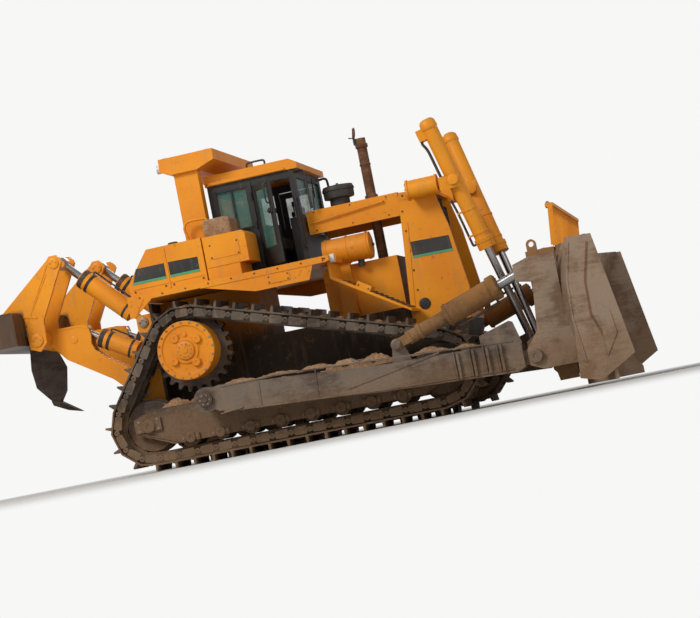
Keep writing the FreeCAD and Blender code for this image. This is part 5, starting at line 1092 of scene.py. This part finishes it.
@dataclass
class CabFittings:
    """Gutters, hinges, handles, latches, wipers, seat, levers and rails of the cab."""

    half: float = 0.78
    roof: float = 3.61

    def build(self, shop: Workshop) -> None:
        """Fits the cab."""
        trim, dark, seals, handles = Form(), Form(), Form(), Form()
        for _, side in SIDES:
            out = side * Y_AXIS
            face = side * self.half
            trim.plate([(0, 0), (1.06, 0), (1.06, 0.03), (0, 0.05)], at(1.17, side * 0.80, 3.545), X_AXIS, Z_AXIS, 0.03 * out)
            dark.plate([(0, 0), (0.065, 0), (0.065, 0.60), (0, 0.60)], at(1.675, face - side * 0.004, 2.90), X_AXIS,
                       Z_AXIS, 0.016 * out)
            for z in (2.46, 2.92, 3.30):
                dark.turned(at(1.720, face + side * 0.012, z - 0.05), Z_AXIS, [(0, 0.016), (0.10, 0.016)], 14)
            for low, high in (((1.245, 2.905), (1.675, 3.445)),):
                ring = [at(low[0], 0, low[1]), at(high[0], 0, low[1]), at(high[0], 0, high[1]), at(low[0], 0, high[1])]
                for a, b in zip(ring, ring[1:] + ring[:1]):
                    seals.strip([a + face * Y_AXIS, b + face * Y_AXIS], 0.026, 0.010, out)
            seals.strip([at(1.46, face - side * 0.012, 2.91), at(1.46, face - side * 0.012, 3.44)], 0.020, 0.018, out)
            handles.tube(smooth_path([at(2.31, face + side * 0.002, 2.50), at(2.31, face + side * 0.05, 2.54),
                                      at(2.31, face + side * 0.05, 3.10), at(2.31, face + side * 0.002, 3.14)], 5), 0.012, 10)
        loop = [at(2.34, -0.70, 3.50), at(2.42, -0.70, 3.505), at(2.455, -0.70, 3.46), at(2.46, -0.70, 3.25),
                at(2.46, -0.66, 2.99)]
        handles.tube(smooth_path(loop, 5), 0.017, 10)
        loop = [point * [1, -1, 1] for point in loop]
        handles.tube(smooth_path(loop, 5), 0.017, 10)
        bow = [at(1.72, -0.70, 3.675), at(1.72, -0.70, 3.735), at(1.76, -0.70, 3.75), at(1.92, -0.70, 3.75),
               at(1.96, -0.70, 3.735), at(1.96, -0.70, 3.675)]
        handles.tube(smooth_path(bow, 4), 0.013, 10)
        for pivot, length, lean in ((at(2.335, 0.0, 2.98), 0.42, 0.35), (at(1.145, 0.0, 2.98), 0.40, -0.3)):
            facing = X_AXIS if pivot[0] > at(1.7, 0, 0)[0] else -X_AXIS
            tip = pivot + length * (math.cos(lean) * Z_AXIS + math.sin(lean) * Y_AXIS)
            handles.tube([pivot + 0.012 * facing, tip + 0.018 * facing], 0.006, 8)
            handles.strip([tip + 0.016 * facing - 0.16 * Z_AXIS, tip + 0.016 * facing + 0.10 * Z_AXIS], 0.012, 0.016, facing)
            handles.turned(pivot, facing, [(0, 0.022), (0.02, 0.022), (0.026, 0.012)], 14)
        vents = Form()
        for y in np.linspace(-0.42, 0.42, 8):
            vents.block(at(1.145, y - 0.035, 2.42), at(1.158, y + 0.035, 2.70))
        shop.fit("cab_vents", vents, Look.BLACK)
        shop.fit("cab_trim", trim, Look.YELLOW, bevel=0.005)
        shop.fit("cab_dark_trim", dark, Look.BLACK, bevel=0.003)
        shop.fit("cab_seals", seals, Look.RUBBER)
        shop.fit("cab_handles", handles, Look.BLACK)
        self.doors(shop)
        self.inside(shop)

    def doors(self, shop: Workshop) -> None:
        """Fits a latch and a grab bar to each door."""
        for name, side in SIDES:
            out = side * Y_AXIS
            latch, bar = Form(), Form()
            face = side * (self.half + 0.0)
            turn = math.radians(52.0) if name == "right" else 0.0
            hinge = at(1.74, face, 0)
            swing = np.array([[math.cos(turn), math.sin(turn), 0], [-math.sin(turn), math.cos(turn), 0], [0, 0, 1]])
            latch.plate([(0.43, 2.99), (0.52, 2.99), (0.52, 3.06), (0.43, 3.06)], at(1.74, face, 0) + 0.0 * out, X_AXIS,
                        Z_AXIS, 0.022 * out)
            latch.turned(at(1.74 + 0.47, face + side * 0.02, 3.02), out, [(0, 0.018), (0.03, 0.016), (0.034, 0.01)], 14)
            bar.tube(smooth_path([at(2.22, face, 3.12), at(2.22, face + side * 0.045, 3.15),
                                  at(2.22, face + side * 0.045, 3.36), at(2.22, face, 3.39)], 5), 0.011, 10)
            for form in (latch, bar):
                form.points = [(rows - hinge) @ swing.T * [1, 1, 1] + hinge for rows in form.points]
            shop.fit(f"door_latch_{name}", latch, Look.BLACK, f"{name}_door", bevel=0.003)
            shop.fit(f"door_bar_{name}", bar, Look.BLACK, f"{name}_door")

    def inside(self, shop: Workshop) -> None:
        """Fits the seat, the levers and the display."""
        cushion, rest, arms, levers = Form(), Form(), Form(), Form()
        wide = np.linspace(-1, 1, 13)
        u, v = np.meshgrid(wide, wide, indexing="ij")
        pillow = (1 - u**4) * (1 - v**4)
        for form, middle, axes, half in (
                (cushion, at(1.66, 0, 2.655), (X_AXIS, Y_AXIS, Z_AXIS), (0.24, 0.25, 0.06)),
                (rest, at(1.405, 0, 3.03), (Z_AXIS, Y_AXIS, X_AXIS), (0.285, 0.24, 0.055))):
            long, across, thick = axes
            bulge = half[2] * (0.35 + 0.65 * pillow**0.5)
            groove = 1 - 0.16 * np.exp(-((np.abs(v) - 0.55) / 0.10) ** 2)
            top = middle + (u * half[0])[..., None] * long + (v * half[1])[..., None] * across \
                + (bulge * groove)[..., None] * thick
            low = middle + (u * half[0])[..., None] * long + (v * half[1])[..., None] * across \
                - (bulge * 0.9)[..., None] * thick
            if np.dot(np.cross(long, across), thick) < 0:
                top, low = low, top
            grid = np.arange(169).reshape(13, 13)
            quads = np.stack([grid[:-1, :-1], grid[1:, :-1], grid[1:, 1:], grid[:-1, 1:]], -1).reshape(-1, 4)
            rim = np.concatenate([grid[:-1, 0], grid[-1, :-1], grid[:0:-1, -1], grid[0, :0:-1]])
            side_quads = np.stack([rim, rim + 169, np.roll(rim, -1) + 169, np.roll(rim, -1)], -1)
            form.add(np.stack([top, low]), quads, quads[:, ::-1] + 169, side_quads)
        for side in (-1, 1):
            arms.plate([(0, 0), (0.30, 0.0), (0.32, 0.03), (0.30, 0.055), (0, 0.055)], at(1.46, side * 0.31 - 0.03, 2.88),
                       X_AXIS, Z_AXIS, 0.06 * Y_AXIS)
        pad = shop.fit("seat_cushion", cushion, Look.CLOTH)
        back = shop.fit("seat_back", rest, Look.CLOTH)
        shop.fit("arm_rests", arms, Look.RUBBER, bevel=0.012)
        for x, y, z, lean in ((1.90, 0.46, 2.88, 0.1), (1.80, 0.50, 2.88, 0.05), (1.86, -0.44, 2.88, 0.12),
                              (2.12, -0.20, 2.94, 0.0), (2.12, 0.12, 2.94, 0.0)):
            foot = at(x, y, z)
            tip = foot + at(STATION_ZERO + lean * 0.5, 0, 0.19)
            levers.tube([foot - 0.01 * Z_AXIS, foot + 0.5 * (tip - foot), tip], 0.009, 8)
            levers.turned(tip - 0.02 * Z_AXIS, Z_AXIS, [(0, 0.012), (0.02, 0.022), (0.06, 0.020), (0.075, 0.008)], 14)
        levers.block(at(2.10, 0.18, 2.96), at(2.14, 0.38, 3.14))
        shop.fit("levers", levers, Look.RUBBER)


@dataclass
class NoseFittings:
    """Grille, guard panels, hood rail, precleaner, air cleaner bands and exhaust rings."""

    guard_half: float = 0.62

    def build(self, shop: Workshop) -> None:
        """Fits the hood and the radiator guard."""
        trim, dark, heads, bars, rusty = Form(), Form(), Form(), Form(), Form()
        panels = PanelFittings()
        for name, side in SIDES:
            out = side * Y_AXIS
            face = side * self.guard_half
            panels.decal(shop, f"guard_{name}", [(0, 0), (0.53, -0.01), (0.51, 0.20), (0, 0.215)], at(3.645, face, 2.075),
                         X_AXIS, Z_AXIS, out, 0.1)
            dark.turned(at(3.68, face - side * 0.002, 1.47), out, [(0, 0.075), (0.012, 0.075), (0.016, 0.062),
                                                                 (0.016, 0.02)], 28)
            heads.bolts([at(3.68, face + side * 0.01, 1.47) + 0.058 * (math.cos(a) * X_AXIS + math.sin(a) * Z_AXIS)
                         for a in np.linspace(0, 2 * np.pi, 4, endpoint=False)], out, 0.009)
            heads.bolts([at(x, face, 2.90) for x in np.linspace(3.66, 4.05, 4)], out, 0.014)
            heads.bolts([at(3.62, face, z) for z in np.linspace(1.66, 2.70, 5)], out, 0.014)
            trim.strip([at(3.60, face, 2.86), at(4.12, face, 2.82)], 0.014, 0.007, out)
            trim.strip([at(3.535, face + side * 0.0005, 1.42), at(3.655, face + side * 0.0005, 2.55)], 0.018, 0.008, out)
            hood = side * 0.551
            heads.bolts([at(x, hood - side * 0.001, z) for x in (2.45, 2.94, 3.43) for z in (2.70, 2.94)], out, 0.011)
            rail = [at(2.42, side * 0.545, 2.80), at(2.425, side * 0.582, 2.805), at(2.50, side * 0.584, 2.812),
                    at(3.30, side * 0.584, 2.885), at(3.38, side * 0.582, 2.89), at(3.385, side * 0.545, 2.89)]
            trim.tube(smooth_path(rail, 4), 0.012, 8)
            dark.block(at(3.592, side * 0.54, 2.70), at(3.603, side * 0.10, 2.95))
        for y in np.linspace(-0.48, 0.48, 13):
            bars.strip([at(4.012, y, 1.34), at(4.012, y, 2.74)], 0.014, 0.030, X_AXIS)
        for z in np.linspace(1.40, 2.68, 17):
            bars.strip([at(4.016, -0.52, z), at(4.016, 0.52, z)], 0.014, 0.022, X_AXIS)
        for x in np.linspace(2.62, 3.22, 7):
            dark.block(at(x - 0.012, 0.16, 2.968), at(x + 0.012, 0.46, 2.982))
        drum = at(2.48, -0.495, 2.375)
        for along in (0.03, 0.30, 0.575):
            trim.turned(drum + along * X_AXIS, X_AXIS, [(0, 0.175), (0.003, 0.184), (0.027, 0.184), (0.03, 0.175)], 36)
        trim.turned(drum + 0.628 * X_AXIS, X_AXIS, [(0, 0.15), (0.012, 0.14), (0.016, 0.05)], 32)
        heads.turned(drum + 0.64 * X_AXIS, X_AXIS, [(0, 0.02), (0.03, 0.02), (0.034, 0.01)], 12)
        for along in (0.12, 0.46):
            dark.turned(drum + along * X_AXIS - 0.25 * Z_AXIS, Z_AXIS, [(0, 0.045), (0.09, 0.045)], 16)
        bowl = at(2.77, -0.25, 2.97)
        dark.turned(bowl, Z_AXIS, [(0.0, 0.142), (0.02, 0.142), (0.024, 0.132), (0.105, 0.132), (0.125, 0.19), (0.135, 0.204),
                                   (0.20, 0.206), (0.21, 0.196), (0.215, 0.214), (0.24, 0.216), (0.262, 0.206),
                                   (0.285, 0.165), (0.297, 0.08), (0.30, 0.01)], 40)
        dark.turned(bowl + 0.295 * Z_AXIS, Z_AXIS, [(0, 0.02), (0.02, 0.02), (0.026, 0.01)], 12)
        stack = at(3.15, 0, 2.97)
        rusty.turned(stack, Z_AXIS, [(0, 0.115), (0.02, 0.115), (0.026, 0.092), (0.09, 0.086), (0.10, 0.072)], 32)
        rusty.turned(stack + 0.74 * Z_AXIS, Z_AXIS, [(0, 0.07), (0.004, 0.084), (0.05, 0.084), (0.055, 0.07)], 32)
        rusty.turned(stack + 0.50 * Z_AXIS, Z_AXIS, [(0, 0.069), (0.004, 0.076), (0.02, 0.076), (0.024, 0.069)], 32)
        shop.fit("nose_trim", trim, Look.YELLOW)
        shop.fit("nose_dark", dark, Look.BLACK)
        shop.fit("nose_bolts", heads, Look.DARK_STEEL)
        shop.fit("grille_bars", bars, Look.BLACK)
        shop.fit("stack_rings", rusty, Look.RUSTY)
        ears, flap = Form(), Form()
        hinge = at(3.07, 0, 3.848)
        for side in (-1, 1):
            ears.block(hinge + [-0.014, side * 0.036, -0.05], hinge + [0.012, side * 0.048, 0.010])
        ears.block(hinge + [-0.014, -0.048, -0.085], hinge + [0.020, 0.048, -0.045])
        flap.turned(hinge - 0.034 * Y_AXIS, Y_AXIS, [(0, 0.010), (0.068, 0.010)], 14)
        flap.strip([hinge + [-0.010, 0, 0.0], hinge + [-0.012, 0, 0.03], hinge + [0.008, 0, 0.145]], 0.030, 0.008, -X_AXIS)
        flap.strip([hinge + [-0.004, 0, 0.002], hinge + [-0.075, 0, 0.020]], 0.022, 0.014, Z_AXIS)
        shop.fit("stack_hinge_ears", ears, Look.BLACK)
        shop.fit("cap_hinge", flap, Look.BLACK, "cap")
        hatch = Form()
        canopy = at(0.64, 0, 3.77)
        for y in np.linspace(-0.80, 0.80, 3):
            hatch.block(canopy + [0.10, y - 0.18, 0.226], canopy + [0.55, y + 0.18, 0.238])
        for _, side in SIDES:
            for x in (0.72, 1.30):
                hatch.turned(at(x, side * 1.00, 3.985), Z_AXIS, [(0, 0.04), (0.02, 0.04), (0.024, 0.03)], 16)
        shop.fit("canopy_plates", hatch, Look.YELLOW, bevel=0.004)


# Ripper

@dataclass
class RipperFittings:
    """Pin caps, clamp bands, pipes, seams and the shank's holder."""

    lift: tuple[tuple[float, float], tuple[float, float]] = ((-0.04, 1.537), (-0.86, 2.01))
    pitch: tuple[tuple[float, float], tuple[float, float]] = ((0.0, 1.96), (-1.00, 2.96))
    middle: float = 0.795
    tower_outer: float = 1.15
    arm_outer: float = 0.895

    def caps(self, form: Form, heads: Form, place: Array, facing: Array, size: float) -> None:
        """Adds a pin's cap with two bolts."""
        form.turned(place - 0.003 * facing, facing, [(0, size), (0.018, size), (0.024, 0.86 * size), (0.024, 0.42 * size),
                                                     (0.018, 0.38 * size)], 24)
        heads.bolts(place + 0.020 * facing + 0.62 * size * np.stack([X_AXIS, -X_AXIS]), facing, 0.011)

    def cylinder(self, shop: Workshop, name: str, ends: tuple[tuple[float, float], tuple[float, float]], start: float,
                 bare: float, radius: float) -> None:
        """Fits a gland, a foot band and a pipe to both cylinders of a pair."""
        gland, pipes, heads, clamps = Form(), Form(), Form(), Form()
        for _, side in SIDES:
            foot = at(ends[0][0], side * self.middle, ends[0][1])
            eye = at(ends[1][0], side * self.middle, ends[1][1])
            way = unit(eye - foot)
            up = unit(np.cross(Y_AXIS, way))
            if up[2] < 0:
                up = -up
            head = float(np.linalg.norm(eye - foot)) - bare
            r = radius
            gland.turned(foot + (head - 0.075) * way, way, [(0, r), (0.004, r + 0.006), (0.06, r + 0.006), (0.072, r - 0.004),
                                                            (0.080, r - 0.030)], 36)
            clamps.turned(foot + (head - 0.165) * way, way, [(0, r), (0.002, r + 0.007), (0.040, r + 0.007), (0.042, r)], 36)
            clamps.turned(foot + (start + 0.07) * way, way, [(0, r), (0.002, r + 0.005), (0.03, r + 0.005), (0.032, r)], 36)
            for angle in np.linspace(0, 2 * np.pi, 8, endpoint=False):
                spot = foot + (head + 0.004) * way + (r - 0.038) * (math.cos(angle) * up + math.sin(angle) * Y_AXIS)
                heads.bolts([spot - 0.004 * way], way, 0.010)
            top = up * r
            pipe = [foot + (head - 0.11) * way + top - 0.01 * up, foot + (head - 0.11) * way + top + 0.028 * up,
                    foot + (head - 0.17) * way + top + 0.034 * up, foot + (start + 0.20) * way + top + 0.030 * up,
                    foot + (start + 0.14) * way + top + 0.026 * up, foot + (start + 0.13) * way + top - 0.006 * up]
            pipes.tube(smooth_path(pipe, 5), 0.012, 10)
        shop.fit(f"{name}_glands", gland, Look.DARK_STEEL, f"{name}_barrel_pair")
        shop.fit(f"{name}_clamps", clamps, Look.BLACK, f"{name}_barrel_pair")
        shop.fit(f"{name}_head_bolts", heads, Look.WORN_STEEL, f"{name}_barrel_pair")
        shop.fit(f"{name}_pipes", pipes, Look.BLACK, f"{name}_barrel_pair")

    def build(self, shop: Workshop) -> None:
        """Fits the ripper."""
        self.cylinder(shop, "ripper_lift", self.lift, 0.165, 0.23, 0.125)
        self.cylinder(shop, "ripper_pitch", self.pitch, 0.235, 0.33, 0.130)
        tower, heads, seams, soil = Form(), Form(), Form(), Form()
        arm, arm_heads, arm_seams = Form(), Form(), Form()
        fixed, fixed_heads = Form(), Form()
        for _, side in SIDES:
            out = side * Y_AXIS
            for facing, face in ((out, side * self.tower_outer), (-out, side * 0.59)):
                self.caps(tower, heads, at(-1.00, face, 2.96), facing, 0.072)
                self.caps(tower, heads, at(-1.42, face, 2.005), facing, 0.088)
            face = side * (self.tower_outer + 0.001)
            seams.strip([at(-1.545, face, 2.34), at(-1.36, face, 2.30)], 0.018, 0.009, out)
            for shift in (-0.055, 0.055):
                seams.strip([at(-1.11 + shift * 0.3, face, 2.90 + shift), at(-1.48 + shift * 0.5, face, 2.30 + shift)], 0.012,
                            0.006, out)
            for z in (2.10, 2.22):
                heads.bolts([at(-1.53, face, z)], out, 0.018)
            face = side * (self.arm_outer + 0.001)
            arm_seams.strip([at(-1.36, face, 2.09), at(-0.92, face, 2.09), at(-0.80, face, 2.05)], 0.012, 0.004, out)
            arm.turned(at(-1.0, side * 0.893, 1.93), out, [(0, 0.05), (0.008, 0.05), (0.011, 0.042)], 20)
            for station, height, size in ((-0.17, 1.06, 0.075), (-0.04, 1.537, 0.070), (0.0, 1.96, 0.070)):
                self.caps(fixed, fixed_heads, at(station, side * 0.945, height), out, size)
                self.caps(fixed, fixed_heads, at(station, side * 0.645, height), -out, size)
            seams.strip([at(-2.12, side * 0.30, 2.402), at(-1.62, side * 0.30, 2.402)], 0.018, 0.008, Z_AXIS)
            soil.mound(at(-1.86, side * 0.98, 2.394), (0.20, 0.30), 0.05, 31 + side)
        lip = Form()
        lip.plate([(0, 0), (0.545, 0), (0.545, 0.022), (0, 0.022)], at(-2.14, -1.462, 2.385), X_AXIS, Z_AXIS, 2.924 * Y_AXIS)
        for z in (2.08, 2.28):
            lip.strip([at(-2.152, -1.40, z), at(-2.152, 1.40, z)], 0.03, 0.010, -X_AXIS)
        for y in np.linspace(-1.25, 1.25, 6):
            heads.bolts([at(-2.152, y, 2.18)], -X_AXIS, 0.022)
        shop.fit("beam_lip", lip, Look.DARK_STEEL, "ripper", bevel=0.004)
        shop.fit("tower_caps", tower, Look.YELLOW, "ripper")
        shop.fit("tower_bolts", heads, Look.WORN_STEEL, "ripper")
        shop.fit("tower_seams", seams, Look.YELLOW, "ripper")
        shop.fit("beam_soil", soil, Look.SOIL, "ripper", sharp=80.0)
        shop.fit("arm_boss", arm, Look.YELLOW, "ripper_arm_pair")
        shop.fit("ripper_arm_seams", arm_seams, Look.YELLOW, "ripper_arm_pair")
        shop.fit("bracket_caps", fixed, Look.WORN_STEEL)
        shop.fit("bracket_bolts", fixed_heads, Look.DARK_STEEL)


# Studio

@dataclass
class Studio:
    """Floor, world, lamps and the camera at the photograph's angle."""

    camera_place: tuple[float, float, float] = (5.767, -26.156, 0.12)
    camera_aim: tuple[float, float, float] = (0.801, -1.58, 1.541)
    camera_up: tuple[float, float, float] = (0.2033, -0.02982, 0.97866)
    lens: float = 102.857
    floor_half: float = 60.0
    floor_lit: tuple[float, float] = (7.0, 15.0)
    world_light: float = 0.42
    background: Colour = (0.93, 0.93, 0.925)
    lamps: tuple[tuple[str, tuple[float, float, float], float, float], ...] = (
        ("key", (-9.0, -15.0, 15.0), 7.0, 2900.0),
        ("fill", (14.0, -13.0, 7.0), 9.0, 450.0),
        ("rim", (-4.0, 16.0, 11.0), 9.0, 900.0),
    )

    def build(self) -> None:
        """Makes the studio."""
        self._camera()
        self._world()
        self._floor()
        for name, place, size, power in self.lamps:
            self._lamp(name, place, size, power)
        bpy.context.scene.view_settings.view_transform = "Standard"

    @staticmethod
    def _set_up(name: str, data: Any, place: Sequence[float], aim: Sequence[float],
                up: Sequence[float]) -> bpy.types.Object:
        """Stands a camera or lamp at a place, looking at its aim."""
        back = unit(np.subtract(place, aim))
        right = unit(np.cross(up, back))
        turn = Matrix(np.stack([right, np.cross(back, right), back], axis=1).tolist()).to_4x4()
        turn.translation = place
        made = bpy.data.objects.new(name, data)
        bpy.context.scene.collection.objects.link(made)
        made.matrix_world = turn
        return made

    def _camera(self) -> None:
        """The camera, at floor level, rolled as the photograph is."""
        data = bpy.data.cameras.new("camera")
        data.lens = self.lens
        data.sensor_width = 36.0
        data.clip_end = 400.0
        bpy.context.scene.camera = self._set_up("camera", data, self.camera_place, self.camera_aim, self.camera_up)

    def _world(self) -> None:
        """Even light, with a pale background for camera and transmission rays."""
        world = bpy.data.worlds.new("world")
        bench = Bench(world)
        path = {name: bench.node("ShaderNodeLightPath", out=f"Is {name} Ray")
                for name in ("Camera", "Transmission")}
        seen = path["Camera"].larger(path["Transmission"])
        light = bench.node("ShaderNodeBackground", {}, {"Color": (0.92, 0.96, 1.0), "Strength": self.world_light})
        shown = bench.node("ShaderNodeBackground", {}, {"Color": self.background})
        both = bench.node("ShaderNodeMixShader", {}, {0: seen, 1: light, 2: shown})
        bench.node("ShaderNodeOutputWorld", {}, {"Surface": both})
        bpy.context.scene.world = world

    def _floor(self) -> None:
        """A pale floor that turns into the background away from the machine."""
        bench = Bench.material("floor")
        tone = bench.noise(0.8, 3.0, 0.5)
        lit = bench.node("ShaderNodeBsdfDiffuse", {}, {"Color": bench.mix(tone, (0.56, 0.555, 0.54), (0.60, 0.59, 0.575))})
        glow = bench.node("ShaderNodeEmission", {}, {"Color": self.background})
        reach = bench.node("ShaderNodeVectorMath", {"operation": "LENGTH"}, {0: bench.place()}, out="Value")
        floor_mix = bench.node("ShaderNodeMixShader", {}, {0: reach.step(*self.floor_lit), 1: lit, 2: glow})
        bench.node("ShaderNodeOutputMaterial", {}, {"Surface": floor_mix})
        half = self.floor_half
        mesh = bpy.data.meshes.new("floor")
        mesh.from_pydata([(-half, -half, 0), (half, -half, 0), (half, half, 0), (-half, half, 0)], [], [(0, 1, 2, 3)])
        mesh.materials.append(bench.owner)
        floor = bpy.data.objects.new("floor", mesh)
        bpy.context.scene.collection.objects.link(floor)

    def _lamp(self, name: str, place: tuple[float, float, float], size: float, power: float) -> None:
        """One square area lamp that looks at the machine's middle."""
        data = bpy.data.lights.new(name, "AREA")
        data.size = size
        data.energy = power
        data.color = (1.0, 0.96, 0.90)
        self._set_up(name, data, place, (0.0, 0.0, 1.6), (0.0, 0.0, 1.0))


def main() -> None:
    """Builds the dressed machine and its studio."""
    logging.basicConfig(level=logging.INFO, format="%(name)s: %(message)s")
    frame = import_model()
    Studio().build()
    finishes = Finishes()
    dress(frame, finishes)
    shop = Workshop(frame, finishes)
    for maker in (TrackFittings, HubFittings, FrameFittings, ArmFittings, BladeFittings, LiftFittings,
                  PanelFittings, CabFittings, NoseFittings, RipperFittings):
        maker().build(shop)


if __name__ == "__main__":
    main()
